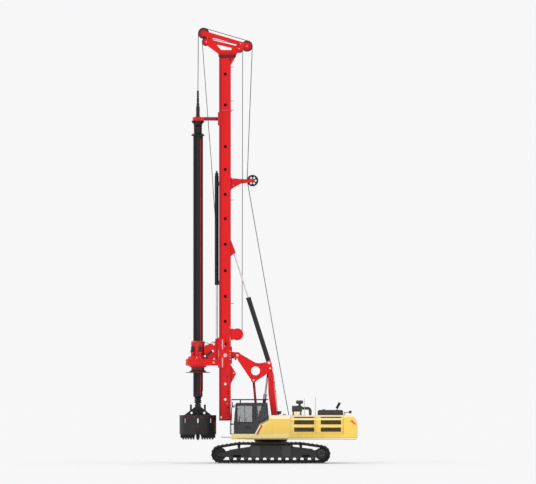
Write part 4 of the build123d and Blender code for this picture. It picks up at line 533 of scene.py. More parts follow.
def plate(name, body, outline, low, high, axis, material, bevel=0.004):
    # an outline in two axes given a thickness along the third; on the first and last of its four rings every
    # corner stands one bevel nearer the outline's mean
    outline = np.asarray(outline, float)
    arm = outline - outline.mean(0)
    length = np.linalg.norm(arm, axis=1)[:, None]
    rings = []
    for shrink, at in ((bevel, low), (0.0, low + bevel), (0.0, high - bevel), (bevel, high)):
        flat = outline.mean(0) + arm * (1 - shrink / length)
        rings.append(inSpace(flat[:, 0], flat[:, 1], at, axis))
    fitted(name, body, np.stack(rings), gridFaces(4, len(outline), caps=True), material, smooth=False)


def sidePlate(name, body, outline, face, side, thick, material, bevel=0.004):
    # a plate that stands on a face of one side
    plate(name, body, outline, *sorted((face, face + side * thick)), 1, material, bevel)


# Ropes

ropes = {
    "mainRadius": 0.018, "auxRadius": 0.016, "grooveDepth": 0.019, "lowEnd": 4.1,
    "mainFall": ((-0.175, 0.0, 6.4), (-0.618, 0.0, 3.95), (-0.97, 0.0, 2.05)),
    "auxRise": (1.43, 1.40),
    # y is measured from the sheave here
    "auxFall": ((3.335, 0.0, 19.85), (3.165, 0.0, 17.6), (2.95, 0.01, 14.8), (2.855, 0.03, 13.35)),
    "auxHook": ((2.785, 0.135, 12.4), (2.69, 0.135, 8.95)),
}


def boxCentre(node):
    return np.mean(np.asarray(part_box(node), float), axis=0)


def wrapArc(centre, radius, fromAngle, toAngle, y, count=24):
    # an arc in the plane of x and z between two angles in degrees
    turn = np.radians(np.linspace(fromAngle, toAngle, count))
    return inSpace(centre[0] + radius * np.cos(turn), centre[2] + radius * np.sin(turn), y, 1)


def straight(a, b, count=2):
    # evenly spaced points from a to b: a times what is left of the way plus b times the share gone
    share = np.linspace(0, 1, count)[:, None]
    return np.asarray(a) * (1 - share) + np.asarray(b) * share


mainFront, mainRear, guide, auxFront, auxRear, auxWinch = map(boxCentre, (
    "main_sheave_front", "main_sheave_rear", "guide_sheave", "aux_sheave_front", "aux_sheave_rear", "aux_winch_drum"))
mainReach, auxReach, guideReach = ((high[0] - low[0]) / 2 - ropes["grooveDepth"] for low, high in map(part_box, (
    "main_sheave_front", "aux_sheave_front", "guide_sheave")))
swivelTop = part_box("swivel")[1][2]
kellyX = boxCentre("kelly_outer")[0]
headSlope = np.degrees(np.arctan2(mainFront[2] - mainRear[2], mainFront[0] - mainRear[0]))
mainPath = np.concatenate([
    # its low end is hidden in the kelly until that is lowered
    straight((kellyX, 0.0, ropes["lowEnd"]), (kellyX, 0.0, swivelTop - 0.1)),
    straight((kellyX - 0.001, 0.0, swivelTop), (mainFront[0] + mainReach, 0.0, mainFront[2])),
    wrapArc(mainFront, mainReach, 0, 90 + headSlope, 0.0),
    wrapArc(mainRear, mainReach, 90 + headSlope, 183, 0.0),
    wrapArc(guide, guideReach, 3, -22, 0.0, 8),
    ropes["mainFall"],
])
tube("main_rope", "mast", mainPath, ropes["mainRadius"], wireRope, 10)
auxY = auxFront[1]
auxPath = np.concatenate([
    straight((ropes["auxRise"][0], auxY, auxWinch[2] + 0.1), (ropes["auxRise"][1], auxY, auxRear[2] - 0.1)),
    wrapArc(auxRear, auxReach, 183, 100, auxY, 12),
    wrapArc(auxFront, auxReach, 100, 0, auxY, 16),
    np.asarray(ropes["auxFall"]) + (0.0, auxY, 0.0),
    ropes["auxHook"],
])
tube("auxiliary_rope", "mast", auxPath, ropes["auxRadius"], wireRope, 8)
print("ropes done")


# Small parts

def around(centre, radius, count, axis=2, start=0.0, at=0.0):
    # spots evenly round a circle across one of the axes
    turn = np.linspace(0, 2 * np.pi, count, endpoint=False) + np.radians(start)
    return inSpace(centre[0] + radius * np.cos(turn), centre[1] + radius * np.sin(turn), at, axis)


def ringOf(name, body, profile, centre, axis, material, sides=48, smooth=True):
    # a closed (radius, height) profile turned about a line along one of the axes; one that starts and ends
    # on the line closes with a flat face at each end
    profile = np.asarray(profile, float)
    solid = profile[:, 0].min() < 1e-6
    radius, height = profile[profile[:, 0] > 1e-6].T[:, :, None]
    turn = np.linspace(0, 2 * np.pi, sides, endpoint=False)
    grid = inSpace(radius * np.cos(turn), radius * np.sin(turn), height, axis) + np.asarray(centre, float)
    fitted(name, body, grid, gridFaces(len(radius), sides, closeRows=not solid, caps=solid), material, smooth)


def boss(name, body, centre, radius, side, reach, material):
    # a round pin end on a side face, its rim rolled over
    profile = [(0.0, 0.0), (radius, 0.0), (radius, reach * 0.6), (radius * 0.85, reach), (0.0, reach)]
    ringOf(name, body, [(r, side * h) for r, h in profile], centre, 1, material, 28)


def shell(name, body, outer, inner, material):
    # two grids of points, one over the other, closed round their rims
    rows, columns = outer.shape[:2]
    under = rows * columns
    faces = gridFaces(rows, columns, closeColumns=False)
    faces += [face[::-1] + under for face in faces]
    index = np.arange(under).reshape(rows, columns)
    rim = np.concatenate([index[0, :-1], index[:-1, -1], index[-1, :0:-1], index[:0:-1, 0]])
    following = np.roll(rim, -1)
    faces += list(np.stack([rim, rim + under, following + under, following], 1))
    fitted(name, body, np.stack([outer, inner]), faces, material)


def barRing(halfWide, halfHigh, corner=0.3, count=4):
    # a rounded rectangle as a ring of offsets: each half length times the cosine or sine to a power below 1
    turn = np.linspace(0, 2 * np.pi, 4 * count, endpoint=False) + np.pi / (4 * count)
    power = 2.0 / (2.0 + 6.0 * (1 - corner))
    cos, sin = np.cos(turn), np.sin(turn)
    return np.stack([halfWide * np.sign(cos) * abs(cos) ** power, halfHigh * np.sign(sin) * abs(sin) ** power], 1)


def bar(name, body, path, halfWide, halfHigh, material, smooth=True):
    # a rounded rectangle carried along a path
    grid = carried(path, barRing(halfWide, halfHigh))
    fitted(name, body, grid, gridFaces(len(path), grid.shape[1], caps=True), material, smooth)


def roundedPath(points, radius, count=6):
    # straight runs joined by arcs, each arc a quadratic curve through its corner
    points = np.asarray(points, float)
    out = [points[:1]]
    share = np.linspace(0, 1, count)[:, None]
    for before, here, after in zip(points, points[1:], points[2:]):
        a, b = (here + (end - here) * min(radius / np.linalg.norm(end - here), 0.5) for end in (before, after))
        out.append((1 - share) ** 2 * a + 2 * share * (1 - share) * here + share ** 2 * b)
    return np.concatenate(out + [points[-1:]])


def bentTube(name, body, points, radius, bend, material, sides=10):
    # a circle carried along a path with rounded corners
    tube(name, body, roundedPath(points, bend), radius, material, sides)


def hose(name, body, points, radius, material, count=40):
    # a smooth curve through a few points: Catmull and Rom's cubic between neighbours
    points = np.asarray(points, float)
    padded = np.concatenate([2 * points[:1] - points[1:2], points, 2 * points[-1:] - points[-2:-1]])
    t = np.linspace(0, len(points) - 1, count)
    i = np.minimum(t.astype(int), len(points) - 2)
    u = (t - i)[:, None]
    p0, p1, p2, p3 = (padded[i + k] for k in range(4))
    square, cube = 2 * p0 - 5 * p1 + 4 * p2 - p3, 3 * p1 - p0 - 3 * p2 + p3
    tube(name, body, 0.5 * (2 * p1 + (p2 - p0) * u + square * u ** 2 + cube * u ** 3), radius, material, 8)


# Mast dressing

mastParts = {
    "rear": 1.993, "front": 2.581, "half": 0.330,
    "flangeBolt": 0.016, "bracketBolt": 0.020, "plug": 0.022, "skin": 0.0005,
    "ropeGuideHeights": (19.80, 18.10, 17.65, 13.15, 7.98),
    "bracketBolts": (5.585, 5.445, 5.32, 5.18),
    "drainPlugs": (3.86, 3.71, 3.585, 3.47),
    "guideArmBolts": (14.185, 13.890),
    "duct": (2.27, 0.10, 0.12, 5.86, 20.0),    # middle in x, half lengths in x and y, low and high end
    "marks": ((2.355, 4.42, 0.04, 0.06, shadeRedPaint), (2.175, 4.34, 0.09, 0.09, trimPlastic),
              (2.03, 4.41, 0.05, 0.05, blackPaint)),                          # x, z, width, height
    # the pink dots are painted highlights, the darker red ones painted shade
    "dots": ((2.040, 6.785, 0.022, highlightPinkPaint), (2.030, 6.250, 0.022, highlightPinkPaint), (2.030, 6.145, 0.022, highlightPinkPaint),
             (2.165, 2.975, 0.030, highlightPinkPaint), (2.135, 2.780, 0.045, recessShadePaint),
             (2.125, 2.505, 0.055, shadeRedPaint)),                               # x, z, radius
}
headFace, headPin = 0.1822, 0.2002
# the pink dots on the head are painted highlights on its pin ends
headDots = ((1.180, headPin, 20.845, 0.030, highlightPinkPaint), (3.225, headPin, 21.060, 0.030, highlightPinkPaint),
            (1.575, headPin, 20.715, 0.030, highlightPinkPaint), (1.515, headFace, 20.960, 0.030, highlightPinkPaint),
            (3.075, headFace, 21.220, 0.045, blackPaint), (1.610, headFace, 20.895, 0.040, blackPaint))
mastRear, mastFront, mastHalf = mastParts["rear"], mastParts["front"], mastParts["half"]
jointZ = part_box("mast_head_section")[0][2]
flangeSpots = [(x, side * (mastHalf + 0.022), jointZ + 0.0305) for side, _ in sides
               for x in np.linspace(mastRear + 0.02, mastFront - 0.11, 8)]
bolts("mast_joint_bolts", "mast", flangeSpots, (0, 0, 1), mastParts["flangeBolt"], brightSteel)
for side, name in sides:
    face, out = side * mastHalf, (0, side, 0)
    proud = side * (mastHalf + mastParts["skin"])
    boss(f"mast_foot_cap_{name}", "mast", (2.50, face, 2.29), 0.07, side, 0.004, whitePaint)
    boss(f"mast_lug_cap_{name}", "mast", (1.840, side * 0.25, 4.495), 0.042, side, 0.02, highlightPinkPaint)
    spots = [(2.025, proud, z) for z in mastParts["bracketBolts"]]
    bolts(f"bracket_bolts_{name}", "mast", spots, out, mastParts["bracketBolt"], highlightPinkPaint)
    # the drain plugs in the near-black red: painted shade in their recesses
    spots = [(2.15, proud, z) for z in mastParts["drainPlugs"]]
    bolts(f"drain_plugs_{name}", "mast", spots, out, mastParts["plug"], recessShadePaint, 0.5)
    for j, (x, z, wide, high, material) in enumerate(mastParts["marks"]):
        outline = rectangle(x - wide / 2, x + wide / 2, z - high / 2, z + high / 2)
        sidePlate(f"mast_clamp_{name}_{j}", "mast", outline, face, side, 0.005, material, 0.002)
    for j, (x, z, radius, material) in enumerate(mastParts["dots"]):
        boss(f"mast_dot_{name}_{j}", "mast", (x, face, z), radius, side, 0.010, material)
    for j, (x, y, z, radius, material) in enumerate(headDots):
        boss(f"head_dot_{name}_{j}", "mast", (x, side * y, z), radius, side, 0.012, material)
    sidePlate(f"head_bracket_{name}_0", "mast", rectangle(1.993, 2.060, 20.11, 20.225), face, side, 0.015, blackPaint)
    outline = rectangle(1.740, 1.860, 20.312, 20.41)
    sidePlate(f"head_bracket_{name}_1", "mast", outline, side * 0.350, side, 0.012, blackPaint)
    for j, z in enumerate(mastParts["guideArmBolts"]):
        bolts(f"guide_arm_bolt_{name}_{j}", "mast", [(1.885, side * 0.0825, z)], out, 0.018, highlightPinkPaint)
x, halfX, halfY, low, high = mastParts["duct"]
bar("mast_duct", "mast", straight((x, 0, low), (x, 0, high), 3), halfY, halfX, blackPaint, smooth=False)

# hub and rim radius of the discs on the sheaves' sides, their inner and outer face
sheaveDiscs = {
    # the front main sheave's disc is in the darker red: painted shade
    "main_sheave_front": (0.083, 0.215, 0.0146, 0.0200, shadeRedPaint),
    "main_sheave_rear": (0.083, 0.215, 0.0146, 0.0200, redPaint),
    "aux_sheave_front": (0.083, 0.165, 0.0114, 0.0160, redPaint),
    "aux_sheave_rear": (0.083, 0.165, 0.0114, 0.0160, redPaint),
}
for name, (hub, rim, near, out, material) in sheaveDiscs.items():
    for side, label in sides:
        profile = rectangle(hub, rim, side * near, side * out)
        ringOf(f"{name}_disc_{label}", name, profile, boxCentre(name), 1, material, smooth=False)
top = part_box("crowd_cylinder_barrel")[1][2]
capProfile = [(0.0, top - 0.002), (0.085, top - 0.002), (0.085, top + 0.13), (0.05, top + 0.16),
              (0.04, top + 0.25), (0.0, top + 0.25)]
ringOf("crowd_cap", "mast", capProfile, (2.70, 0.0, 0.0), 2, blackPaint, 24, smooth=False)
kellyCones = {
    "kelly_head_cone": [(0.200, 16.80), (0.222, 16.95), (0.300, 17.034), (0.200, 17.034)],
    "kelly_flange_cone": [(0.200, 16.46), (0.250, 16.46), (0.325, 16.411), (0.200, 16.411)],
}
for name, profile in kellyCones.items():
    ringOf(name, "kelly_outer", profile, (kellyX, 0, 0), 2, blackPaint)
beadProfile = ((0.0, -0.045), (0.040, -0.040), (0.054, -0.015), (0.054, 0.015), (0.040, 0.040), (0.0, 0.045))
for i, z in enumerate((18.58, 18.445, 18.315, 18.185, 18.045, 17.925)):
    ringOf(f"swivel_bead_{i}", "swivel", [(r, z + h) for r, h in beadProfile], (kellyX, 0, 0), 2, blackPaint, 20)
guideLoop = ((0.01, 0.045), (-0.10, 0.05), (-0.17, 0.0), (-0.10, -0.05), (0.01, -0.045))
for i, z in enumerate(mastParts["ropeGuideHeights"]):
    bentTube(f"rope_guide_{i}", "mast", [(mastRear + x, y, z) for x, y in guideLoop], 0.012, 0.05, blackPaint)


# Winding on a drum: one layer of rope as a helix, its pitch 2.06 rope radii

def winding(name, body, centre, radius, halfLength, ropeRadius, material):
    turns = int(2 * halfLength / (2.06 * ropeRadius))
    count = turns * 20
    turn = np.linspace(0, 2 * np.pi * turns, count)
    y = np.linspace(-halfLength + ropeRadius, halfLength - ropeRadius, count)
    path = inSpace(centre[0] + radius * np.cos(turn), centre[2] + radius * np.sin(turn), centre[1] + y, 1)
    tube(name, body, path, ropeRadius, material, 6)


winding("main_winch_rope", "main_winch", boxCentre("main_winch_drum"), 0.333, 0.295, 0.018, wireRope)
winding("aux_winch_rope", "aux_winch", auxWinch, 0.249, 0.235, 0.014, wireRope)
print("mast and winches dressed")


# Cab dressing

cab = {"inner": 0.57, "outer": 1.50, "gasket": 0.011, "corner": 0.05, "proud": 0.001}


def gasket(name, body, corners, y):
    # a rubber bead round a window in a side wall, its path closed
    corners = np.asarray(corners, float)
    ring = roundedPath(np.concatenate([corners, corners[:2]]), cab["corner"])[1:-1]
    path = inSpace(ring[:, 0], ring[:, 1], y, 1)
    path = path[np.concatenate([[True], np.linalg.norm(np.diff(path, axis=0), axis=1) > 1e-5])]
    if np.linalg.norm(path[0] - path[-1]) < 1e-5:
        path = path[:-1]
    tube(name, body, path, cab["gasket"], rubber, 8, closed=True)


outerWall, innerWall = cab["outer"] + cab["proud"], cab["inner"] - cab["proud"]
doorLow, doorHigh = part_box("cab_door_glass")
gasket("door_glass_seal", "cab_door", rectangle(doorLow[0], doorHigh[0], doorLow[2], doorHigh[2]), outerWall)
rearWindow = [(0.56, 2.06), (0.745, 2.06), (0.745, 2.88), (0.215, 2.88), (0.20, 2.26)]
gasket("rear_side_seal_left", house, rearWindow, outerWall)
gasket("rear_side_seal_right", house, rearWindow, innerWall)
gasket("front_side_seal", house, rectangle(0.92, 1.669, 1.75, 2.88), innerWall)
grabRail = [(1.735, 1.50, 1.75), (1.735, 1.56, 1.75), (1.735, 1.56, 2.75), (1.735, 1.50, 2.75)]
bentTube("cab_grab_rail", house, grabRail, 0.014, 0.05, cabPaint)
bentTube("wiper_arm", house, [(1.835, 1.05, 1.58), (1.845, 1.0, 1.7), (1.82, 0.86, 2.3)], 0.008, 0.05, rubber)
bar("wiper_blade", house, straight((1.845, 0.80, 2.0), (1.79, 0.92, 2.6), 3), 0.006, 0.014, rubber)
guardLine = [(1.92, 3.04), (1.92, 2.90), (1.945, 2.75), (1.975, 2.285), (2.01, 1.95), (2.015, 1.47), (1.94, 1.44),
             (1.87, 1.44)]
guardClamps = ((1.93, 1.79, 2.82), (1.99, 1.85, 1.95))
for name, y in (("left", 1.40), ("right", 0.66)):
    bentTube(f"cab_guard_bar_{name}", house, [(x, y, z) for x, z in guardLine], 0.022, 0.04, blackPaint)
    for j, (x0, x1, z) in enumerate(guardClamps):
        path = straight((x0, y, z), (x1, y, z))
        bar(f"cab_guard_clamp_{name}_{j}", house, path, 0.03, 0.03, blackPaint, smooth=False)
bar("window_divider", house, straight((1.305, 0.575, 2.05), (1.305, 0.575, 2.86), 3), 0.012, 0.018, rubber)
rearTrim = [[(0.215, 2.08), (0.56, 2.08), (0.56, 2.38), (0.46, 2.87), (0.225, 2.87)],
            [(0.57, 2.08), (0.745, 2.08), (0.745, 2.87), (0.685, 2.87), (0.61, 2.36), (0.57, 2.36)]]
for j, outline in enumerate(rearTrim):
    plate(f"rear_window_trim_{j}", house, outline, 1.462, 1.472, 1, trimPlastic)
plate("door_sill_trim", "cab_door", rectangle(doorLow[0], doorHigh[0], 2.00, 2.055), 1.5005, 1.508, 1, rubber)
plate("door_handle_patch", "cab_door", rectangle(1.01, 1.25, 1.725, 1.85), 1.5005, 1.506, 1, castSteel)
for side, name, y in ((1, "left", 1.56), (-1, "right", 0.51)):
    arm = [(1.70, y - side * 0.06, 2.86), (1.86, y, 2.92), (1.95, y, 2.80)]
    bentTube(f"mirror_arm_{name}", house, arm, 0.010, 0.05, rubber)


# Fairing stripes, hood lines, lamps and posts

hood = {
    "side": 1.50, "proud": 0.001, "fairing": 1.5147, "stripe": 0.0016, "seam": (0.007, 0.0035),
    "lines": (((-0.985, 1.475), (-0.985, 2.385)), ((0.05, 2.19), (0.05, 2.385)), ((-1.01, 1.4625), (-3.64, 1.4625)),
              ((-3.635, 1.48), (-3.635, 2.385))),
}


def strip(name, line, inner, outer, material):
    # a band beside a bent line on the fairing: each corner is moved along the mean of its two runs' normals
    y, thick = hood["fairing"], hood["stripe"]
    line = np.asarray(line, float)
    run = np.diff(line, axis=0)
    run /= np.linalg.norm(run, axis=1)[:, None]
    normal = np.stack([run[:, 1], -run[:, 0]], 1)
    bent = (normal[1:] + normal[:-1]) / (1 + (normal[1:] * normal[:-1]).sum(1))[:, None]
    corner = np.concatenate([normal[:1], bent, normal[-1:]])
    low, high = line + corner * inner, line + corner * outer
    edge = np.stack([low, high, high, low], 1)
    grid = inSpace(edge[..., 0], edge[..., 1], np.array([y, y, y + thick, y + thick]), 1)
    fitted(name, house, grid, gridFaces(len(line), 4, caps=True), material, smooth=False)


stripeLine = np.array([(0.770, 1.470), (0.525, 1.935), (0.10, 2.150)])
lowLine, highLine = stripeLine[:2], stripeLine[1:] + (0, 0.010)
strip("stripe_white", lowLine, -0.004, -0.052, whitePaint)
strip("stripe_red", lowLine, -0.052, -0.130, stripeRed)
strip("stripe_thin", highLine, -0.003, -0.042, stripeRed)
strip("stripe_pale", highLine, -0.042, -0.085, creamPaint)

for side, name in sides:
    y = side * (hood["side"] + hood["proud"])
    for i, line in enumerate(hood["lines"]):
        ends = [(x, y, z) for x, z in line]
        bar(f"hood_seam_{name}_{i}", house, straight(*ends, 3), *hood["seam"], shadePaint)
    for (x0, x1), end in zip(grille["spans"], ("front", "rear")):
        sidePlate(f"louvre_back_{name}_{end}", f"engine_door_{name}_{end}",
                  rectangle(x0 - 0.03, x1 + 0.03, 1.55, 2.345), side * 1.452, side, 0.012, blackPaint)
for side, name in sides:
    y = side * (hood["side"] + hood["proud"])
    for j, (x, end) in enumerate(((-2.14, "front"), (-2.345, "rear"))):
        body = f"engine_door_{name}_{end}"
        sidePlate(f"latch_{name}_{j}", body, rectangle(x - 0.045, x + 0.045, 1.83, 1.90), y, side, 0.014, yellowPaint)
        out = y + side * 0.03
        grip = [(x, y, 1.845), (x, out, 1.855), (x, out, 1.885), (x, y, 1.893)]
        bentTube(f"door_grip_{name}_{j}", body, grip, 0.005, 0.01, shadePaint, 8)
for name, x, low, high in (("post_front", -1.685, 2.403, 3.25), ("post_rear", -2.23, 2.403, 3.31)):
    profile = [(0.0, low), (0.035, low), (0.035, low + 0.012), (0.013, low + 0.016), (0.013, high - 0.01),
               (0.009, high), (0.0, high)]
    ringOf(name, house, profile, (x, 1.30, 0.0), 2, brightSteel, 14)
shroud = [(-0.33, 2.46), (-0.30, 2.60), (-0.55, 2.61), (-0.53, 2.54), (-0.45, 2.47), (-0.42, 2.44)]
plate("lamp_shroud", house, shroud, 1.381, 1.392, 1, blackPaint)

tail = {"centre": (-3.830, 0.980), "radius": 0.520, "upper": (-4.080, 2.160), "lower": (-4.285, 1.950),
        "depth": 0.135, "taper": 0.55, "fall": 0.30, "bulge": 0.010, "proud": 0.002, "sunk": -0.004}
along, across = np.meshgrid(np.linspace(0, 1, 14), np.linspace(0, 1, 7), indexing="ij")
(upperX, upperZ), (lowerX, lowerZ) = tail["upper"], tail["lower"]
lift = tail["bulge"] * np.sqrt(np.clip(1 - (2 * across - 1) ** 2, 0, 1)) + tail["proud"]
for side, name in sides:
    # the lamp lies on the rounded corner: y follows the quarter circle as x runs back
    x = upperX + (lowerX - upperX) * along + tail["depth"] * across * (1 - tail["taper"] * along)
    z = upperZ + (lowerZ - upperZ) * along - tail["fall"] * tail["depth"] * across
    angle = (tail["centre"][0] - x) / tail["radius"]
    faces = []
    for reach in (lift, tail["sunk"] + 0 * lift):
        radius = tail["radius"] + reach
        y = side * (tail["centre"][1] + radius * np.sqrt(1 - angle ** 2))
        faces.append(np.stack([tail["centre"][0] - radius * angle, y, z], -1))
    shell(f"tail_reflector_{name}", house, *faces, reflectorRed)
plate("lamp_lens_front", house, rectangle(1.19, 1.37, 2.468, 2.587), -0.289, -0.283, 0, lampGlass)
plate("lamp_lens_tail", house, rectangle(1.042, 1.153, 2.502, 2.613), -4.041, -4.036, 0, lampRed)
print("hood dressed")


# Carriage and drive

carriage = {
    "proud": 0.0005, "mark": (0.004, 0.0012),     # thickness and bevel of what is laid on its sides
    "strips": ((5.70, 6.17), (4.79, 5.26)),
    "marks": ((5.98, 6.07), (5.575, 5.70), (5.0, 5.15)),
    "frontBolts": (4.86, 5.05, 5.62, 5.85, 6.12), "rearBolts": (4.86, 5.45, 6.12),
}
pinSpots = {
    # (x, z, radius) of each pin end on the carriage's gussets and ears, and on the drive's cover
    "gusset": ((2.840, 5.945, 0.062), (2.895, 5.600, 0.062)),
    "ear": ((2.830, 5.200, 0.052), (2.850, 5.020, 0.052)),
    "drive": ((3.695, 5.270, 0.034), (3.510, 5.265, 0.034)),
}
drive = {"x": 3.64, "flangeTop": 5.2005, "flangeLow": 4.8695, "cover": 0.495, "motors": (50.0, 105.0, -50.0, -105.0),
         "motorReach": 0.43, "motorFoot": 5.3255, "sleeveTop": 6.1005}

for side, name in sides:
    face = side * (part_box("carriage")[1][1] + carriage["proud"])
    thick, bevel = carriage["mark"]
    # pink strips and a pink line on the carriage's sides: painted highlights
    for j, (low, high) in enumerate(carriage["strips"]):
        sidePlate(f"carriage_strip_{name}_{j}", "carriage", rectangle(2.385, 2.435, low, high), face, side, thick,
                  highlightPinkPaint, bevel)
    spots = [(x, face, z) for x, row in ((2.62, "frontBolts"), (2.50, "rearBolts")) for z in carriage[row]]
    bolts(f"carriage_bolts_{name}", "carriage", spots, (0, side, 0), 0.015, shadeRedPaint)
    sidePlate(f"carriage_highlight_line_{name}", "carriage", rectangle(2.592, 2.608, 5.30, 5.65), face, side, thick,
              highlightPinkPaint, bevel)
    # darker red plates where the carriage's recesses lie: painted shade
    for j, (low, high) in enumerate(carriage["marks"]):
        sidePlate(f"carriage_recess_shade_{name}_{j}", "carriage", rectangle(2.50, 2.56, low, high), face, side, thick,
                  shadeRedPaint, bevel)
    boss(f"carriage_dot_{name}", "carriage", (2.305, face, 5.85), 0.022, side, 0.01, whitePaint)
centre = (drive["x"], 0.0)
for name, reach, count, z, up in (("drive_bolts", 0.553, 28, drive["flangeTop"], 1),
                                  ("drive_bolts_low", 0.50, 24, drive["flangeLow"], -1)):
    bolts(name, "carriage", around(centre, reach, count, at=z), (0, 0, up), 0.013, brightSteel)
for name, z in (("drive_rim_low", 4.93), ("drive_rim_high", 5.13)):
    profile = [(0.6105, z), (0.622, z + 0.005), (0.622, z + 0.035), (0.6105, z + 0.04)]
    ringOf(name, "carriage", profile, (*centre, 0), 2, redPaint, 72)
for j, angle in enumerate(np.radians(drive["motors"])):
    x, y = drive["x"] + drive["motorReach"] * np.cos(angle), drive["motorReach"] * np.sin(angle)
    spots = around((x, y), 0.108, 8, start=22.5, at=drive["motorFoot"])
    bolts(f"motor_bolts_{j}", "carriage", spots, (0, 0, 1), 0.010, brightSteel)
    side = 1 if y > 0 else -1
    out = 0.40 + 0.03 * (j % 2)
    path = [(x, y, 5.845), (x - 0.02, y, 5.94), (0.5 * (x + 3.30) - 0.04, side * (out + 0.04), 6.03 - 0.02 * (j % 2)),
            (3.30, side * out, 6.03), (3.17, side * (out - 0.02), 6.0), (3.04, side * (out - 0.028), 5.955),
            (2.90, side * (out - 0.03), 6.07), (2.82, side * 0.365, 6.02)]
    hose(f"motor_pipe_{j}", "carriage", path, 0.010, blackPaint)
fillOutline = [(3.17, 5.335), (3.33, 5.335), (3.33, 5.80), (3.28, 5.84)]
for side, name in sides:
    for j, (x, z, radius) in enumerate(pinSpots["gusset"]):
        boss(f"gusset_pin_{name}_{j}", "carriage", (x, side * 0.345, z), radius, side, 0.03, whitePaint)
    for j, (x, z, radius) in enumerate(pinSpots["drive"]):
        y = np.sqrt(drive["cover"] ** 2 - (x - drive["x"]) ** 2) - 0.004
        boss(f"drive_pin_{name}_{j}", "carriage", (x, side * y, z), radius, side, 0.022, highlightPinkPaint)
    for j, (x, z, radius) in enumerate(pinSpots["ear"]):
        y = 0.416 + 0.170 * (x - 2.640)     # on the ears' slanting faces
        boss(f"ear_pin_{name}_{j}", "carriage", (x, side * y, z), radius, side, 0.03, highlightPinkPaint)
    strut = straight((2.895, side * 0.352, 5.60), (3.2825, side * 0.50, 5.345), 3)
    bar(f"gusset_strut_{name}", "carriage", strut, 0.045, 0.011, blackPaint)
    boss(f"strut_disc_{name}", "carriage", (3.2825, side * 0.488, 5.345), 0.098, side, 0.035, blackPaint)
    boss(f"strut_pin_{name}", "carriage", (3.2825, side * 0.523, 5.345), 0.050, side, 0.012, whitePaint)
    sidePlate(f"gusset_window_{name}", "carriage", rectangle(2.825, 2.855, 5.30, 5.50), side * 0.345, side, 0.004,
              blackPaint, 0.001)
    for j, outline in enumerate((fillOutline, rectangle(2.90, 3.16, 5.16, 5.36))):
        sidePlate(f"gusset_fill_{name}_{j}", "carriage", outline, side * 0.302, side, 0.041, redPaint)
    boss(f"carriage_boss_{name}", "carriage", (2.275, side * 0.352, 5.38), 0.107, side, 0.118, highlightPinkPaint)
for j, spot in enumerate(around(centre, 0.300, 6, at=drive["sleeveTop"])):
    bolts(f"sleeve_bolt_{j}", "sleeve", [spot], (0, 0, 1), 0.014, brightSteel)
print("drive dressed")


# Tracks: bolts at the rollers' brackets, sprocket covers, and near-black plates in the frames' outer faces, the painted
# shade of slots

tracks = {"middle": 1.75, "frame": 0.190, "rollerMiddle": -0.075, "pitch": 0.372, "boltHeight": 0.262,
          "sprocket": (-2.545, 0.5275), "hubFace": 0.2305,
          "slots": ((1.50, 1.87, 0.300, 0.425), (-1.94, -1.57, 0.320, 0.425))}
rollerX = [tracks["rollerMiddle"] + tracks["pitch"] * (i - 5.5) for i in range(12)]
sprocketX, sprocketZ = tracks["sprocket"]
for side, name in sides:
    for face, label in ((1, "outer"), (-1, "inner")):
        y = side * tracks["middle"] + face * (tracks["frame"] + 0.0005)
        spots = [(x + dx, y, tracks["boltHeight"]) for x in rollerX for dx in (-0.036, 0.036)]
        bolts(f"roller_bolts_{name}_{label}", "undercarriage", spots, (0, face, 0), 0.010, brightSteel)
    hubY = side * (tracks["middle"] + tracks["hubFace"])
    profile = [(0.0, 0.0), (0.19, 0.0), (0.175, side * 0.018), (0.06, side * 0.03), (0.0, side * 0.03)]
    ringOf(f"sprocket_cover_{name}", "undercarriage", profile, (sprocketX, hubY, sprocketZ), 1, castSteel, 40)
    face = side * (tracks["middle"] + tracks["frame"])
    for j, slot in enumerate(tracks["slots"]):
        sidePlate(f"frame_slot_shade_{name}_{j}", "undercarriage", rectangle(*slot), face, side, 0.003, slotShadePaint, 0.001)
    spots = around(tracks["sprocket"], 0.155, 12, axis=1, at=hubY + side * 0.0185)
    bolts(f"sprocket_bolts_{name}", "undercarriage", spots, (0, side, 0), 0.011, brightSteel)


# Bucket: bolt heads round its rim and over its foot

bucket = {"x": 3.64, "radius": 0.9205, "rimHeight": 2.300, "footHeight": 1.85,
          "rimAngles": [11.25 + 22.5 * i for i in range(16)],
          "footAngles": [76.0, 90.0, 116.0, 136.0, 256.0, 270.0, 296.0, 316.0]}
for name, angles, z, radius in (("bucket_rim_bolts", bucket["rimAngles"], bucket["rimHeight"], 0.018),
                                ("bucket_foot_bolts", bucket["footAngles"], bucket["footHeight"], 0.016)):
    turn = np.radians(angles)
    normals = inSpace(np.cos(turn), np.sin(turn), 0.0, 2)
    spots = bucket["radius"] * normals + (bucket["x"], 0.0, z)
    bolts(name, "kelly_inner", spots, normals, radius, rimBoltPaint, 0.6)
print("tool and tracks dressed")


# Steel pipes clamped behind the boom's legs

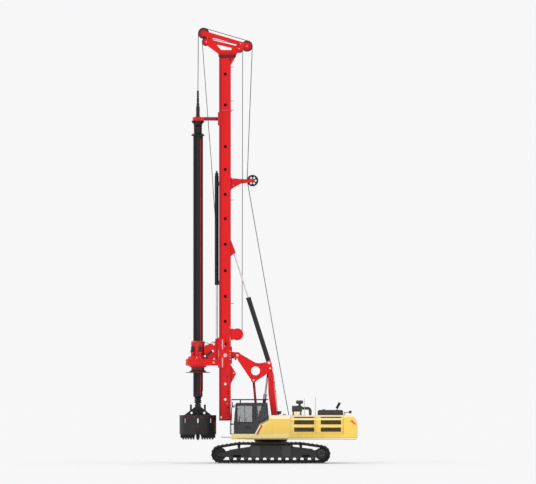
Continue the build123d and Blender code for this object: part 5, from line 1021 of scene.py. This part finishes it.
pipes = {"radius": 0.017, "pitch": 0.05, "gap": 0.028, "leg": 0.284,
         "back": ((-0.335, 2.42), (-0.215, 3.50), (-0.105, 4.48)), "clamps": ((-0.243, 3.575), (-0.190, 4.03))}
for side, name in sides:
    leg = side * pipes["leg"]
    for i in range(2):
        y = side * (pipes["leg"] + (i - 0.5) * pipes["pitch"])
        path = [(x - pipes["gap"], y, z) for x, z in pipes["back"]]
        path = [(path[0][0] + 0.06, y, 2.36), *path, (path[-1][0] + 0.05, y, 4.54)]
        bentTube(f"boom_pipe_{name}_{i}", "boom", path, pipes["radius"], 0.05, redPaint)
    boss(f"link_stop_{name}", "triangle", (1.755, side * 0.3855, 5.20), 0.050, side, 0.010, blackPaint)
    for i, (x, z) in enumerate(pipes["clamps"]):
        path = straight((x, leg, z - 0.02), (x, leg, z + 0.02))
        bar(f"boom_clamp_{name}_{i}", "boom", path, 0.028, 0.058, blackPaint, smooth=False)
bentTube("front_step_bar", house, [(1.95, 1.30, 1.30), (2.45, 1.30, 1.30), (2.47, 1.30, 1.34)], 0.014, 0.03, castSteel)
capProfile = [(0.0, 2.400), (0.062, 2.400), (0.062, 2.455), (0.045, 2.475), (0.0, 2.475)]
ringOf("filler_cap", house, capProfile, (-0.685, 1.18, 0), 2, greyPaint, 24)
plate("intake_base", house, rectangle(-1.545, -1.145, 2.401, 2.55), 0.92, 1.08, 1, creamPaint)


# Camera, floor and light

def lookAt(thing, target):
    direction = Vector(target) - thing.location
    thing.rotation_euler = direction.to_track_quat("-Z", "Y").to_euler()


width, height = view["imageSize"]
centreX = (view["axisPixel"][0] - width / 2) * view["metresPerPixel"]
centreZ = (view["axisPixel"][1] - height / 2) * view["metresPerPixel"]
cameraData = bpy.data.cameras.new("camera")
cameraData.sensor_width = view["sensor"]
cameraData.lens = view["sensor"] * view["distance"] / (width * view["metresPerPixel"])
cameraData.clip_end = view["clipEnd"]
camera = linked("camera", cameraData)
camera.location = (centreX, view["distance"], centreZ)
lookAt(camera, (centreX, 0.0, centreZ))
bpy.context.scene.camera = camera

studio = {"floorHalf": 400.0, "floorHeight": -0.002, "floorTone": 0.864, "sky": (0.93, 0.93, 0.94), "softness": 55.0}
floorMaterial, floorTree, floorShader = newMaterial("floor")
feed(floorTree, floorShader, {"Base Color": (*[studio["floorTone"]] * 3, 1), "Roughness": 1.0,
                              "Specular IOR Level": 0.0})
half = studio["floorHalf"]
floorPoints = [(x, y, studio["floorHeight"]) for x, y in rectangle(-half, half, -half, half)]
floor = meshFrom("floor", floorPoints, [np.arange(4)], floorMaterial, smooth=False)

world = bpy.data.worlds.new("studio")
bpy.context.scene.world = world
world.use_nodes = True
feed(world.node_tree, world.node_tree.nodes["Background"], {0: (*studio["sky"], 1), 1: 1.0})

lights = [
    ("key", (26.0, 34.0, 30.0), (0.0, 0.0, 9.0), 0.45),
    ("fill", (-30.0, 26.0, 18.0), (0.0, 0.0, 9.0), 0.20),
    ("back", (8.0, -30.0, 34.0), (0.0, 0.0, 8.0), 0.35),
]
for name, place, target, power in lights:
    lightData = bpy.data.lights.new(name, "SUN")
    lightData.angle = np.radians(studio["softness"])
    lightData.energy = power
    light = linked(name, lightData)
    light.location = place
    lookAt(light, target)
bpy.context.scene.view_settings.view_transform = "Standard"
print("camera and lights done")
